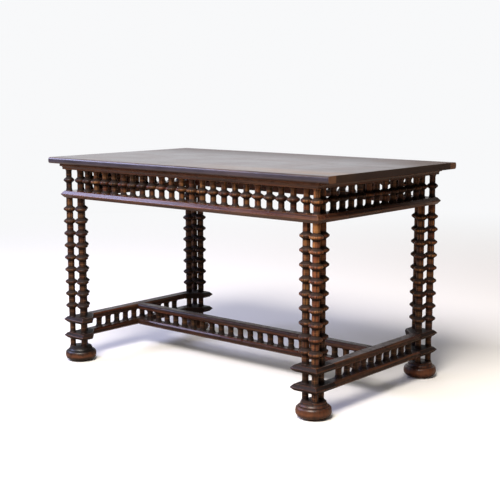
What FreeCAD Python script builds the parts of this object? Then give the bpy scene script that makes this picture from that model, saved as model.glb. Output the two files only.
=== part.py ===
import FreeCAD, Part
import os
import re
import Sketcher

# A rectangular table on four legs, each leg a cluster of three ring-turned spindles.
# +X runs along the length, +Y to the back, +Z up; the origin is on the floor under the middle.

# Driving dimensions in millimetres; names that end in count are whole numbers
SIZES = {
    # whole table
    "table_height": 740,
    "top_thickness": 22,
    "edging_width": 38,
    "nosing_radius": 8,
    "leg_span_length": 1066,
    "leg_span_width": 610,
    "top_end_overhang": 87,
    "top_side_overhang": 56,
    # fits shared by every joint
    "fit_clearance": 0.2,
    "end_clearance": 0.5,
    "cut_overrun": 5,
    # leg spindles, three to a cluster
    "cluster_side": 47.5,
    "collar_clearance": 3.5,
    "collar_count": 9,
    "collar_end_gap": 41,
    "collar_height": 20,
    "collar_land": 5,
    "leg_shaft_diameter": 23.5,
    "leg_flare_diameter": 25,
    "leg_flare_height": 10,
    "leg_tenon_diameter": 14,
    "leg_tenon_length": 8,
    # upper frieze rails, bed moulding and top bearers
    "upper_rail_height": 20,
    "upper_rail_reach": 27.5,
    "rail_inner_reach": 14,
    "bed_moulding_reach": 42,
    "bed_fillet_height": 9,
    "bed_step": 5,
    "bed_lip": 7.5,
    "bed_cove_drop": 6.5,
    "bed_round_radius": 4,
    "bearer_width": 60,
    "bearer_offset": 250,
    # lower frieze rails with their pointed edge
    "lower_rail_height": 24,
    "moulding_reach": 41,
    "moulding_bevel": 9,
    "moulding_land": 2.5,
    # turned spindles of the frieze
    "frieze_height": 77,
    "frieze_row_offset": 12,
    "frieze_long_count": 21,
    "frieze_short_count": 11,
    "frieze_shaft_diameter": 19,
    "frieze_collar_diameter": 40,
    "frieze_collar_height": 20,
    "frieze_flare_diameter": 29,
    "frieze_flare_height": 10,
    "frieze_tenon_diameter": 9,
    "frieze_tenon_length": 9,
    "corner_shaft_diameter": 20,
    "corner_collar_diameter": 38,
    # stretcher plates and rails
    "plate_height": 21,
    "plate_gap": 38,
    "plate_arm_reach": 60,
    "plate_arm_inner": 5,
    "side_rail_reach": 37,
    "side_rail_bevel": 5,
    "centre_rail_width": 40,
    "centre_rail_round": 9,
    "stretcher_side_count": 10,
    "stretcher_centre_count": 22,
    "stretcher_shaft_diameter": 20,
    "stretcher_flare_diameter": 28,
    "stretcher_flare_height": 10,
    # flat tenons of rails and bearers
    "flat_tenon_length": 10,
    "flat_tenon_width": 26,
    "flat_tenon_height": 9,
    # turned bun feet
    "foot_height": 52,
    "foot_gap": 30,
    "foot_flare_diameter": 23,
    "foot_flare_height": 6,
    "foot_diameter": 120,
    "foot_base_diameter": 64,
    "foot_bulge_height": 22,
    "foot_bulge_radius": 16,
    "foot_shoulder_height": 38,
    "foot_shoulder_diameter": 100,
    "foot_step": 4,
    "foot_waist_height": 46,
    "foot_waist_diameter": 82,
    "foot_top_diameter": 78,
}

# Heights above the floor, from the foot up and from the top down
LOWER_PLATE_Z = "(foot_height + foot_gap)"
LOWER_PLATE_TOP = f"({LOWER_PLATE_Z} + plate_height)"
UPPER_PLATE_Z = f"({LOWER_PLATE_TOP} + plate_gap)"
UPPER_PLATE_TOP = f"({UPPER_PLATE_Z} + plate_height)"
TOP_UNDERSIDE = "(table_height - top_thickness)"
UPPER_RAIL_Z = f"({TOP_UNDERSIDE} - upper_rail_height)"
LOWER_RAIL_TOP = f"({UPPER_RAIL_Z} - frieze_height)"
LOWER_RAIL_Z = f"({LOWER_RAIL_TOP} - lower_rail_height)"
LEG_LENGTH = f"({LOWER_RAIL_Z} - {UPPER_PLATE_TOP})"

# Places in one leg cluster, measured outward from the leg's centre
CLUSTER_RADIUS = "(cluster_side / sqrt(3))"
OUTER_PLACE = f"({CLUSTER_RADIUS} * cos(45))"
NEAR_PLACE = f"({CLUSTER_RADIUS} * sin(15))"
FAR_PLACE = f"({CLUSTER_RADIUS} * cos(15))"
COLLAR_DIAMETER = "(cluster_side - collar_clearance)"
TOP_LENGTH = "(leg_span_length + 2 * top_end_overhang)"
TOP_WIDTH = "(leg_span_width + 2 * top_side_overhang)"
BOARD_WIDTH = f"({TOP_WIDTH} / 2 - edging_width)"

# Corner name: sign along X, sign along Y, turn about Z, and the plate arm that meets the side rail
CORNERS = {
    "back_right": (1, 1, 0, "v"),
    "back_left": (-1, 1, 90, "u"),
    "front_left": (-1, -1, 180, "v"),
    "front_right": (1, -1, 270, "u"),
}
CLUSTER_ANGLES = {"outer": 45, "inner_right": 165, "inner_left": 285}

# Side name: sign along X, sign along Y, and the turn that points a rail's outer edge outward
SIDES = {
    "back": (0, 1, 0),
    "front": (0, -1, 180),
    "right": (1, 0, -90),
    "left": (-1, 0, 90),
}

doc = FreeCAD.newDocument("bobbin_turned_table")
sheet = doc.addObject("Spreadsheet::Sheet", "sizes")
for row, (alias, number) in enumerate(SIZES.items(), 1):
    sheet.set(f"A{row}", str(number))
    sheet.setAlias(f"A{row}", alias)
doc.recompute()

bodies = []


def qualify(text):
    """Expression text with every named size read from the sheet."""
    return re.sub(r"[a-z_]+", lambda word: f"sizes.{word[0]}" if word[0] in SIZES else word[0], text)


def bind(thing, target, text):
    """Tie one property of an object to an expression of named sizes."""
    thing.setExpression(target, qualify(text))


def measure(text):
    """Present value of an expression of named sizes."""
    return float(sheet.evalExpression(qualify(text)))


def new_body(label):
    """An empty piece that will be written to its own file."""
    body = doc.addObject("PartDesign::Body", label)
    body.Label = label
    bodies.append(body)
    return body


def place(body, x_text, y_text, z_text, turn=0):
    """Set a piece down at a point of the table, turned about the vertical."""
    body.Placement = FreeCAD.Placement(FreeCAD.Vector(), FreeCAD.Rotation(turn, 0, 0))
    bind(body, "Placement.Base.x", x_text)
    bind(body, "Placement.Base.y", y_text)
    bind(body, "Placement.Base.z", z_text)


def origin_feature(body, role):
    """One of the piece's own origin planes or axes."""
    return [item for item in body.Origin.OriginFeatures if item.Role == role][0]


def new_sketch(body, name, role, offset=("0", "0", "0")):
    """A sketch on an origin plane of the piece, shifted in the plane's own axes."""
    sketch = body.newObject("Sketcher::SketchObject", name)
    sketch.AttachmentSupport = [(origin_feature(body, role), "")]
    sketch.MapMode = "FlatFace"
    for axis, text in zip("xyz", offset):
        bind(sketch, f"AttachmentOffset.Base.{axis}", text)
    return sketch


def pin_point(sketch, element, vertex, x_text, y_text):
    """Tie a point of a sketch to two coordinates."""
    for kind, axis, text in (("DistanceX", -2, x_text), ("DistanceY", -1, y_text)):
        if text == "0":
            sketch.addConstraint(Sketcher.Constraint("PointOnObject", element, vertex, axis))
            continue
        held = sketch.addConstraint(Sketcher.Constraint(kind, -1, 1, element, vertex, measure(text)))
        bind(sketch, f"Constraints[{held}]", text)


def add_outline(sketch, points):
    """A closed outline of straight edges through points given as expressions."""
    first = sketch.GeometryCount
    corners = [FreeCAD.Vector(measure(x_text), measure(y_text), 0) for x_text, y_text in points]
    for start, end in zip(corners, corners[1:] + corners[:1]):
        sketch.addGeometry(Part.LineSegment(start, end))
    for index, (x_text, y_text) in enumerate(points):
        following = first + (index + 1) % len(points)
        sketch.addConstraint(Sketcher.Constraint("Coincident", first + index, 2, following, 1))
        pin_point(sketch, first + index, 1, x_text, y_text)


def add_circle(sketch, x_text, y_text, diameter_text):
    """A circle with its centre and diameter tied to expressions."""
    centre = FreeCAD.Vector(measure(x_text), measure(y_text), 0)
    element = sketch.addGeometry(Part.Circle(centre, FreeCAD.Vector(0, 0, 1), measure(diameter_text) / 2))
    pin_point(sketch, element, 3, x_text, y_text)
    held = sketch.addConstraint(Sketcher.Constraint("Diameter", element, measure(diameter_text)))
    bind(sketch, f"Constraints[{held}]", diameter_text)


def rectangle(low_x, high_x, low_y, high_y):
    """Corner points of an upright rectangle."""
    return [(low_x, low_y), (high_x, low_y), (high_x, high_y), (low_x, high_y)]


def pad(body, name, sketch, length_text, midplane=False):
    """Raise a sketch into a solid."""
    feature = body.newObject("PartDesign::Pad", name)
    feature.Profile = sketch
    bind(feature, "Length", length_text)
    feature.SideType = "Symmetric" if midplane else "One side"
    doc.recompute()
    return feature


def pocket(body, name, sketch, depth_text=None, upward=False):
    """Cut a sketch into the piece, to a depth or right through both ways."""
    before = body.Shape.Volume
    feature = body.newObject("PartDesign::Pocket", name)
    feature.Profile = sketch
    if depth_text is None:
        feature.SideType = "Symmetric"
        feature.Type = "ThroughAll"
    else:
        bind(feature, "Length", depth_text)
        feature.Reversed = upward
    doc.recompute()
    if body.Shape.Volume >= before:
        raise RuntimeError(f"{body.Label}: {name} cut nothing")
    return feature


def revolve(body, name, points, offset=("0", "0", "0")):
    """Turn an outline, drawn as radius and height, about the vertical."""
    sketch = new_sketch(body, f"{name}_profile", "XZ_Plane", offset)
    add_outline(sketch, points)
    doc.recompute()
    feature = body.newObject("PartDesign::Revolution", name)
    feature.Profile = sketch
    feature.ReferenceAxis = (sketch, ["V_Axis"])
    doc.recompute()
    return feature


def repeat(body, name, feature, role, run_text, count_text):
    """Repeat a feature evenly over a run along one of the piece's axes."""
    pattern = body.newObject("PartDesign::LinearPattern", name)
    pattern.Originals = [feature]
    pattern.Direction = (origin_feature(body, role), [""])
    bind(pattern, "Length", run_text)
    bind(pattern, "Occurrences", count_text)
    body.Tip = pattern
    doc.recompute()
    return pattern


def at_every_corner(body, feature):
    """Repeat a feature of the back right leg in its cluster and at all four legs."""
    centre = new_sketch(body, "leg_centre", "XY_Plane", ("leg_span_length / 2", "leg_span_width / 2", "0"))
    corners = body.newObject("PartDesign::MultiTransform", "every_corner")
    cluster = body.newObject("PartDesign::PolarPattern", "cluster")
    cluster.Axis = (centre, ["N_Axis"])
    cluster.Occurrences = len(CLUSTER_ANGLES)
    mirrors = []
    for role in ("YZ_Plane", "XZ_Plane"):
        mirror = body.newObject("PartDesign::Mirrored", f"mirror_{role}")
        mirror.MirrorPlane = (origin_feature(body, role), [""])
        mirrors.append(mirror)
    corners.Originals = [feature]
    corners.Transformations = [cluster] + mirrors
    body.Tip = corners
    doc.recompute()


def edges_where(feature, test):
    """Names of the edges whose middle point passes a test."""
    names = []
    for number, edge in enumerate(feature.Shape.Edges, 1):
        middle = edge.valueAt((edge.FirstParameter + edge.LastParameter) / 2)
        if test(middle):
            names.append(f"Edge{number}")
    return names


def round_edges(body, name, feature, radius_text, test):
    """Round the edges of a feature that pass a test."""
    fillet = body.newObject("PartDesign::Fillet", name)
    fillet.Base = (feature, edges_where(feature, test))
    bind(fillet, "Radius", radius_text)
    doc.recompute()
    return fillet


def near(first, second):
    """Whether two coordinates are the same but for rounding."""
    return abs(first - second) <= 1e-6 * max(1, abs(first), abs(second))


# Turned pieces

def spindle_outline(length, shaft, flare, flare_height, tenon, tenon_length, collar=None):
    """Radius and height points of a spindle; a collar at mid length is diameter, height and land."""
    shaft_radius = f"({shaft} / 2)"
    points = [
        ("0", f"-{tenon_length}"),
        (f"{tenon} / 2", f"-{tenon_length}"),
        (f"{tenon} / 2", "0"),
        (f"{flare} / 2", "0"),
        (shaft_radius, flare_height),
    ]
    if collar:
        diameter, height, land = collar
        points += [
            (shaft_radius, f"{length} / 2 - {height} / 2"),
            (f"{diameter} / 2", f"{length} / 2 - {land} / 2"),
            (f"{diameter} / 2", f"{length} / 2 + {land} / 2"),
            (shaft_radius, f"{length} / 2 + {height} / 2"),
        ]
    return points + [
        (shaft_radius, f"{length} - {flare_height}"),
        (f"{flare} / 2", length),
        (f"{tenon} / 2", length),
        (f"{tenon} / 2", f"{length} + {tenon_length}"),
        ("0", f"{length} + {tenon_length}"),
    ]


def leg_spindle(corner, position):
    """One long leg spindle with its row of pointed collars."""
    sign_x, sign_y, turn, _ = CORNERS[corner]
    angle = turn + CLUSTER_ANGLES[position]
    body = new_body(f"leg_spindle_{corner}_{position}")
    revolve(body, "shaft", spindle_outline(
        LEG_LENGTH, "leg_shaft_diameter", "leg_flare_diameter", "leg_flare_height",
        "leg_tenon_diameter", "leg_tenon_length"))
    ring = revolve(body, "collar", [
        ("0", "collar_end_gap - collar_height / 2"),
        ("leg_shaft_diameter / 2", "collar_end_gap - collar_height / 2"),
        (f"{COLLAR_DIAMETER} / 2", "collar_end_gap - collar_land / 2"),
        (f"{COLLAR_DIAMETER} / 2", "collar_end_gap + collar_land / 2"),
        ("leg_shaft_diameter / 2", "collar_end_gap + collar_height / 2"),
        ("0", "collar_end_gap + collar_height / 2"),
    ])
    repeat(body, "collars", ring, "Z_Axis", f"{LEG_LENGTH} - 2 * collar_end_gap", "collar_count")
    place(
        body,
        f"{sign_x} * leg_span_length / 2 + {CLUSTER_RADIUS} * cos({angle})",
        f"{sign_y} * leg_span_width / 2 + {CLUSTER_RADIUS} * sin({angle})",
        UPPER_PLATE_TOP)


def corner_spindles(label, z_text, outline):
    """Twelve like spindles, three at each leg, standing on one level."""
    body = new_body(label)
    across = f"leg_span_length / 2 + {OUTER_PLACE}"
    back = f"-(leg_span_width / 2 + {OUTER_PLACE})"
    at_every_corner(body, revolve(body, "spindle", outline, (across, "0", back)))
    place(body, "0", "0", z_text)


def spindle_row(label, outline, run_text, count_text, place_texts, turn):
    """A straight row of like spindles, the run being from the first axis to the last."""
    body = new_body(label)
    first = revolve(body, "spindle", outline, (f"-({run_text}) / 2", "0", "0"))
    repeat(body, "row", first, "X_Axis", run_text, count_text)
    place(body, *place_texts, turn)


def foot(corner):
    """A turned bun foot with a stepped, hollowed shoulder and three sockets."""
    sign_x, sign_y, turn, _ = CORNERS[corner]
    body = new_body(f"foot_{corner}")
    bun = revolve(body, "bun", [
        ("0", "0"),
        ("foot_base_diameter / 2", "0"),
        ("foot_diameter / 2", "foot_bulge_height"),
        ("foot_shoulder_diameter / 2", "foot_shoulder_height"),
        ("foot_shoulder_diameter / 2 - foot_step", "foot_shoulder_height"),
        ("foot_waist_diameter / 2", "foot_waist_height"),
        ("foot_top_diameter / 2", "foot_height"),
        ("0", "foot_height"),
    ])
    bulge = measure("foot_bulge_height")
    round_edges(body, "bulge", bun, "foot_bulge_radius", lambda point: near(point.z, bulge))
    sockets = new_sketch(body, "sockets", "XY_Plane", ("0", "0", "foot_height"))
    for x_text, y_text in cluster_places():
        add_circle(sockets, x_text, y_text, "leg_tenon_diameter + fit_clearance")
    pocket(body, "tenon_sockets", sockets, "leg_tenon_length + end_clearance")
    place(body, f"{sign_x} * leg_span_length / 2", f"{sign_y} * leg_span_width / 2", "0", turn)


def cluster_places():
    """The three spindle axes of one cluster, outward along both sides."""
    return [(OUTER_PLACE, OUTER_PLACE), (f"-{FAR_PLACE}", NEAR_PLACE), (NEAR_PLACE, f"-{FAR_PLACE}")]


# Rails, plates and mouldings

def add_flat_tenons(body, shoulder_text, height_text, centre_text):
    """A stub tenon on each end of a rail that runs along its own X."""
    sketch = new_sketch(body, "tenon_section", "YZ_Plane")
    add_outline(sketch, rectangle(
        f"{centre_text} - flat_tenon_width / 2", f"{centre_text} + flat_tenon_width / 2",
        f"{height_text} / 2 - flat_tenon_height / 2", f"{height_text} / 2 + flat_tenon_height / 2"))
    pad(body, "tenons", sketch, f"{shoulder_text} + 2 * flat_tenon_length", midplane=True)


def cut_mortises(body, centres, height_text, face_text):
    """Mortises for stub tenons in a face that looks along the piece's own -Y."""
    sketch = new_sketch(body, "mortise_outline", "XZ_Plane", ("0", "0", f"-({face_text})"))
    for centre in centres:
        add_outline(sketch, rectangle(
            f"{centre} - flat_tenon_width / 2 - fit_clearance / 2",
            f"{centre} + flat_tenon_width / 2 + fit_clearance / 2",
            f"{height_text} / 2 - flat_tenon_height / 2 - fit_clearance / 2",
            f"{height_text} / 2 + flat_tenon_height / 2 + fit_clearance / 2"))
    pocket(body, "mortises", sketch, "flat_tenon_length + end_clearance")


def drill(body, name, places, tenon, height_text=None):
    """Blind tenon holes, down from the given height or up from the underside."""
    sketch = new_sketch(body, f"{name}_centres", "XY_Plane", ("0", "0", height_text or "0"))
    for x_text, y_text in places:
        add_circle(sketch, x_text, y_text, f"{tenon}_tenon_diameter + fit_clearance")
    return pocket(body, name, sketch, f"{tenon}_tenon_length + end_clearance", upward=height_text is None)


def drill_row(body, name, run_text, offset_text, count_text, height_text=None):
    """A straight row of frieze tenon holes along the piece's own X."""
    first = drill(body, name, [(f"-({run_text}) / 2", offset_text)], "frieze", height_text)
    repeat(body, f"{name}_row", first, "X_Axis", run_text, count_text)


def pointed_section(inner_text, reach_text, height_text):
    """Section of a board with a pointed outer edge, as distance outward and height."""
    return [
        (f"-{inner_text}", "0"),
        (f"{reach_text} - moulding_bevel", "0"),
        (reach_text, f"{height_text} / 2 - moulding_land / 2"),
        (reach_text, f"{height_text} / 2 + moulding_land / 2"),
        (f"{reach_text} - moulding_bevel", height_text),
        (f"-{inner_text}", height_text),
    ]


def point_an_end(sketch, sign, end_text, height_text):
    """Outlines of the two wedges that bring an upright end to a point."""
    def outward(text):
        return f"{sign} * ({text})"
    for level, edge, away in (
            ("0", f"{height_text} / 2 - moulding_land / 2", "-cut_overrun"),
            (height_text, f"{height_text} / 2 + moulding_land / 2", f"{height_text} + cut_overrun")):
        add_outline(sketch, [
            (outward(f"{end_text} - moulding_bevel"), level),
            (outward(end_text), edge),
            (outward(f"{end_text} + cut_overrun"), edge),
            (outward(f"{end_text} + cut_overrun"), away),
            (outward(f"{end_text} - moulding_bevel"), away),
        ])


def frieze_run(span_text, count_text):
    """Distance from the first to the last frieze spindle between two legs."""
    gap = f"({span_text} - 2 * {FAR_PLACE})"
    return f"({gap} * ({count_text} - 1) / ({count_text} + 1))"


def side_facts(side):
    """Span, spindle count and lengthwise flag of one side of the frame."""
    if side in ("front", "back"):
        return "leg_span_length", "frieze_long_count", True
    return "leg_span_width", "frieze_short_count", False


def place_on_side(body, side, z_text):
    """Set a rail on the centre line of two legs with its outer edge outward."""
    sign_x, sign_y, turn = SIDES[side]
    place(body, f"{sign_x} * leg_span_length / 2", f"{sign_y} * leg_span_width / 2", z_text, turn)


def corner_holes(span_text, lengthwise):
    """Leg tenon places on one rail; only the long rails carry the outer spindles."""
    places = []
    for sign in (-1, 1):
        places.append((f"{sign} * ({span_text} / 2 - {FAR_PLACE})", NEAR_PLACE))
        if lengthwise:
            places.append((f"{sign} * ({span_text} / 2 + {OUTER_PLACE})", OUTER_PLACE))
    return places


def upper_frieze_rail(side):
    """A plain rail under the top that takes the upper tenons of the frieze."""
    span, count, lengthwise = side_facts(side)
    body = new_body(f"upper_frieze_rail_{side}")
    length = f"({span} + 2 * upper_rail_reach)" if lengthwise else f"({span} - 2 * rail_inner_reach)"
    plan = new_sketch(body, "plan", "XY_Plane")
    add_outline(plan, rectangle(f"-{length} / 2", f"{length} / 2", "-rail_inner_reach", "upper_rail_reach"))
    pad(body, "rail", plan, "upper_rail_height")
    if lengthwise:
        joint_centre = "(leg_span_length / 2 + (upper_rail_reach - rail_inner_reach) / 2)"
        centres = [f"-{joint_centre}", "-bearer_offset", "bearer_offset", joint_centre]
        cut_mortises(body, centres, "upper_rail_height", "-rail_inner_reach")
    else:
        add_flat_tenons(body, length, "upper_rail_height", "(upper_rail_reach - rail_inner_reach) / 2")
    drill(body, "corner_sockets", corner_holes(span, lengthwise), "leg")
    drill_row(body, "frieze_sockets", frieze_run(span, count), "frieze_row_offset", count)
    place_on_side(body, side, UPPER_RAIL_Z)


def bed_moulding(side):
    """A strip with a square fillet over a cove, mitred round the upper rails under the top."""
    span, _, _ = side_facts(side)
    body = new_body(f"bed_moulding_{side}")
    section = new_sketch(body, "section", "YZ_Plane")
    step_in = "(bed_moulding_reach - bed_step)"
    fillet_low = "(upper_rail_height - bed_fillet_height)"
    add_outline(section, [
        ("upper_rail_reach", "0"),
        ("upper_rail_reach + bed_lip", "0"),
        (step_in, "bed_cove_drop"),
        (step_in, fillet_low),
        ("bed_moulding_reach", fillet_low),
        ("bed_moulding_reach", "upper_rail_height"),
        ("upper_rail_reach", "upper_rail_height"),
    ])
    strip = pad(body, "strip", section, f"{span} + 2 * bed_moulding_reach", midplane=True)
    step = measure(step_in)
    cove = measure("bed_cove_drop")
    round_edges(body, "cove", strip, "bed_round_radius",
                lambda point: near(point.y, step) and near(point.z, cove))
    ends = new_sketch(body, "mitres", "XY_Plane")
    for sign in (-1, 1):
        add_outline(ends, [
            (f"{sign} * ({span} / 2 + upper_rail_reach - cut_overrun)", "upper_rail_reach - cut_overrun"),
            (f"{sign} * ({span} / 2 + bed_moulding_reach + cut_overrun)", "bed_moulding_reach + cut_overrun"),
            (f"{sign} * ({span} / 2 + bed_moulding_reach + cut_overrun)", "upper_rail_reach - cut_overrun"),
        ])
    pocket(body, "mitred_ends", ends)
    place_on_side(body, side, UPPER_RAIL_Z)


def lower_frieze_rail(side):
    """The pointed rail that the frieze stands on and the legs hang from."""
    span, count, lengthwise = side_facts(side)
    body = new_body(f"lower_frieze_rail_{side}")
    length = f"({span} + 2 * moulding_reach)" if lengthwise else f"({span} - 2 * rail_inner_reach)"
    section = new_sketch(body, "section", "YZ_Plane")
    add_outline(section, pointed_section("rail_inner_reach", "moulding_reach", "lower_rail_height"))
    pad(body, "rail", section, length, midplane=True)
    if lengthwise:
        ends = new_sketch(body, "pointed_ends", "XZ_Plane")
        for sign in (-1, 1):
            point_an_end(ends, sign, f"{length} / 2", "lower_rail_height")
        pocket(body, "end_bevels", ends)
        joint_centre = "(leg_span_length / 2 + (upper_rail_reach - rail_inner_reach) / 2)"
        cut_mortises(body, [f"-{joint_centre}", joint_centre], "lower_rail_height", "-rail_inner_reach")
    else:
        add_flat_tenons(body, length, "lower_rail_height", "(upper_rail_reach - rail_inner_reach) / 2")
    drill(body, "frieze_corner_sockets", corner_holes(span, lengthwise), "leg", "lower_rail_height")
    drill(body, "leg_sockets", corner_holes(span, lengthwise), "leg")
    drill_row(body, "frieze_sockets", frieze_run(span, count), "frieze_row_offset", count, "lower_rail_height")
    place_on_side(body, side, LOWER_RAIL_Z)


def stretcher_plate(level, corner, z_text):
    """A corner plate, pointed on its outer edges and free arm, that ties the three spindles of one leg."""
    sign_x, sign_y, turn, arm = CORNERS[corner]
    body = new_body(f"stretcher_plate_{level}_{corner}")
    plan = new_sketch(body, "plan", "XY_Plane")
    add_outline(plan, [
        ("moulding_reach", "moulding_reach"),
        ("-plate_arm_reach", "moulding_reach"),
        ("-plate_arm_reach", "-plate_arm_inner"),
        ("-plate_arm_inner", "-plate_arm_reach"),
        ("moulding_reach", "-plate_arm_reach"),
    ])
    pad(body, "plate", plan, "plate_height")
    free_role = "XZ_Plane" if arm == "v" else "YZ_Plane"
    for role in ("XZ_Plane", "YZ_Plane"):
        bevels = new_sketch(body, f"bevels_{role}", role)
        point_an_end(bevels, 1, "moulding_reach", "plate_height")
        if role == free_role:
            point_an_end(bevels, -1, "plate_arm_reach", "plate_height")
        pocket(body, f"pointed_edge_{role}", bevels)
    drill(body, "upper_sockets", cluster_places(), "leg", "plate_height")
    drill(body, "lower_sockets", cluster_places(), "leg")
    role = "XZ_Plane" if arm == "v" else "YZ_Plane"
    face = "plate_arm_reach" if arm == "v" else "-plate_arm_reach"
    mortise = new_sketch(body, "mortise_outline", role, ("0", "0", face))
    centre = "(side_rail_reach - plate_arm_inner) / 2"
    add_outline(mortise, rectangle(
        f"{centre} - flat_tenon_width / 2 - fit_clearance / 2",
        f"{centre} + flat_tenon_width / 2 + fit_clearance / 2",
        "plate_height / 2 - flat_tenon_height / 2 - fit_clearance / 2",
        "plate_height / 2 + flat_tenon_height / 2 + fit_clearance / 2"))
    pocket(body, "mortise", mortise, "flat_tenon_length + end_clearance", upward=arm == "u")
    place(body, f"{sign_x} * leg_span_length / 2", f"{sign_y} * leg_span_width / 2", z_text, turn)


def bevelled_section(low_text, high_text, square_top=False):
    """Section of a stretcher rail with its long corners bevelled, or only the lower two."""
    under = [
        (low_text, "side_rail_bevel"),
        (f"{low_text} + side_rail_bevel", "0"),
        (f"{high_text} - side_rail_bevel", "0"),
        (high_text, "side_rail_bevel"),
    ]
    if square_top:
        return under + [(high_text, "plate_height"), (low_text, "plate_height")]
    return under + [
        (high_text, "plate_height - side_rail_bevel"),
        (f"{high_text} - side_rail_bevel", "plate_height"),
        (f"{low_text} + side_rail_bevel", "plate_height"),
        (low_text, "plate_height - side_rail_bevel"),
    ]


SIDE_RAIL_LENGTH = "(leg_span_width - 2 * plate_arm_reach)"
SIDE_RAIL_CENTRE = "((side_rail_reach - plate_arm_inner) / 2)"
CENTRE_RAIL_LENGTH = "(leg_span_length - 2 * plate_arm_inner)"


def row_run(length_text, count_text):
    """Distance from the first to the last of evenly spaced spindles along a rail."""
    return f"({length_text} * ({count_text} - 1) / ({count_text} + 1))"


def side_stretcher_rail(level, side, z_text):
    """A rail between the two plates of one end of the table."""
    body = new_body(f"side_stretcher_rail_{level}_{side}")
    section = new_sketch(body, "section", "YZ_Plane")
    add_outline(section, bevelled_section("-plate_arm_inner", "side_rail_reach"))
    pad(body, "rail", section, SIDE_RAIL_LENGTH, midplane=True)
    add_flat_tenons(body, SIDE_RAIL_LENGTH, "plate_height", SIDE_RAIL_CENTRE)
    cut_mortises(body, ["0"], "plate_height", "-plate_arm_inner")
    height = "plate_height" if level == "lower" else None
    run = row_run(SIDE_RAIL_LENGTH, "stretcher_side_count")
    drill_row(body, "sockets", run, SIDE_RAIL_CENTRE, "stretcher_side_count", height)
    place_on_side(body, side, z_text)


def centre_stretcher_rail(level, z_text):
    """A long rail between the middles of the two side stretchers; the upper one is round on top."""
    body = new_body(f"centre_stretcher_rail_{level}")
    section = new_sketch(body, "section", "YZ_Plane")
    upper = level == "upper"
    add_outline(section, bevelled_section("-centre_rail_width / 2", "centre_rail_width / 2", upper))
    rail = pad(body, "rail", section, CENTRE_RAIL_LENGTH, midplane=True)
    if upper:
        edge = measure("centre_rail_width / 2")
        top = measure("plate_height")
        round_edges(body, "round_top", rail, "centre_rail_round",
                    lambda point: near(abs(point.y), edge) and near(point.z, top))
    add_flat_tenons(body, CENTRE_RAIL_LENGTH, "plate_height", "0")
    height = "plate_height" if level == "lower" else None
    run = row_run(CENTRE_RAIL_LENGTH, "stretcher_centre_count")
    drill_row(body, "sockets", run, "0", "stretcher_centre_count", height)
    place(body, "0", "0", z_text)


# The top and what carries it

def top_board(label, low_text, high_text, outer_text=None):
    """One board of the top; an edging strip has its outer edge rounded over."""
    body = new_body(label)
    plan = new_sketch(body, "plan", "XY_Plane")
    add_outline(plan, rectangle(f"-{TOP_LENGTH} / 2", f"{TOP_LENGTH} / 2", low_text, high_text))
    board = pad(body, "board", plan, "top_thickness")
    if outer_text:
        outer = measure(outer_text)
        middle = measure("top_thickness / 2")
        round_edges(body, "nosing", board, "nosing_radius",
                    lambda point: near(point.y, outer) and not near(point.z, middle))
    place(body, "0", "0", TOP_UNDERSIDE)


def top_bearer(side):
    """A cross bearer under the boards, tenoned into the long upper rails."""
    body = new_body(f"top_bearer_{side}")
    length = "(leg_span_width - 2 * rail_inner_reach)"
    plan = new_sketch(body, "plan", "XY_Plane")
    add_outline(plan, rectangle(f"-{length} / 2", f"{length} / 2", "-bearer_width / 2", "bearer_width / 2"))
    pad(body, "bearer", plan, "upper_rail_height")
    add_flat_tenons(body, length, "upper_rail_height", "0")
    place(body, f"{SIDES[side][0]} * bearer_offset", "0", UPPER_RAIL_Z, SIDES[side][2])


def build_top():
    """Four boards edge to edge over two bearers."""
    top_board("top_front_strip", f"-{TOP_WIDTH} / 2", f"-{BOARD_WIDTH}", f"-{TOP_WIDTH} / 2")
    top_board("top_front_board", f"-{BOARD_WIDTH}", "0")
    top_board("top_back_board", "0", BOARD_WIDTH)
    top_board("top_back_strip", BOARD_WIDTH, f"{TOP_WIDTH} / 2", f"{TOP_WIDTH} / 2")
    for side in ("left", "right"):
        top_bearer(side)


def build_frieze():
    """Rails, mouldings and spindles of the open frieze on all four sides."""
    outline = spindle_outline(
        "frieze_height", "frieze_shaft_diameter", "frieze_flare_diameter", "frieze_flare_height",
        "frieze_tenon_diameter", "frieze_tenon_length",
        ("frieze_collar_diameter", "frieze_collar_height", "collar_land"))
    for side, (sign_x, sign_y, turn) in SIDES.items():
        upper_frieze_rail(side)
        bed_moulding(side)
        lower_frieze_rail(side)
        span, count, _ = side_facts(side)
        spindle_row(f"frieze_spindles_{side}", outline, frieze_run(span, count), count, (
            f"{sign_x} * (leg_span_length / 2 + frieze_row_offset)",
            f"{sign_y} * (leg_span_width / 2 + frieze_row_offset)",
            LOWER_RAIL_TOP), turn)
    corner_spindles("corner_frieze_spindles", LOWER_RAIL_TOP, spindle_outline(
        "frieze_height", "corner_shaft_diameter", "leg_flare_diameter", "leg_flare_height",
        "leg_tenon_diameter", "leg_tenon_length",
        ("corner_collar_diameter", "frieze_collar_height", "collar_land")))


def build_legs():
    """Leg spindles, the short spindles below them and the feet."""
    for corner in CORNERS:
        for position in CLUSTER_ANGLES:
            leg_spindle(corner, position)
        foot(corner)
    for label, z_text, length, flare in (
            ("plate_spindles", LOWER_PLATE_TOP, "plate_gap", "leg_flare"),
            ("foot_spindles", "foot_height", "foot_gap", "foot_flare")):
        corner_spindles(label, z_text, spindle_outline(
            length, "corner_shaft_diameter", f"{flare}_diameter", f"{flare}_height",
            "leg_tenon_diameter", "leg_tenon_length"))


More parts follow.
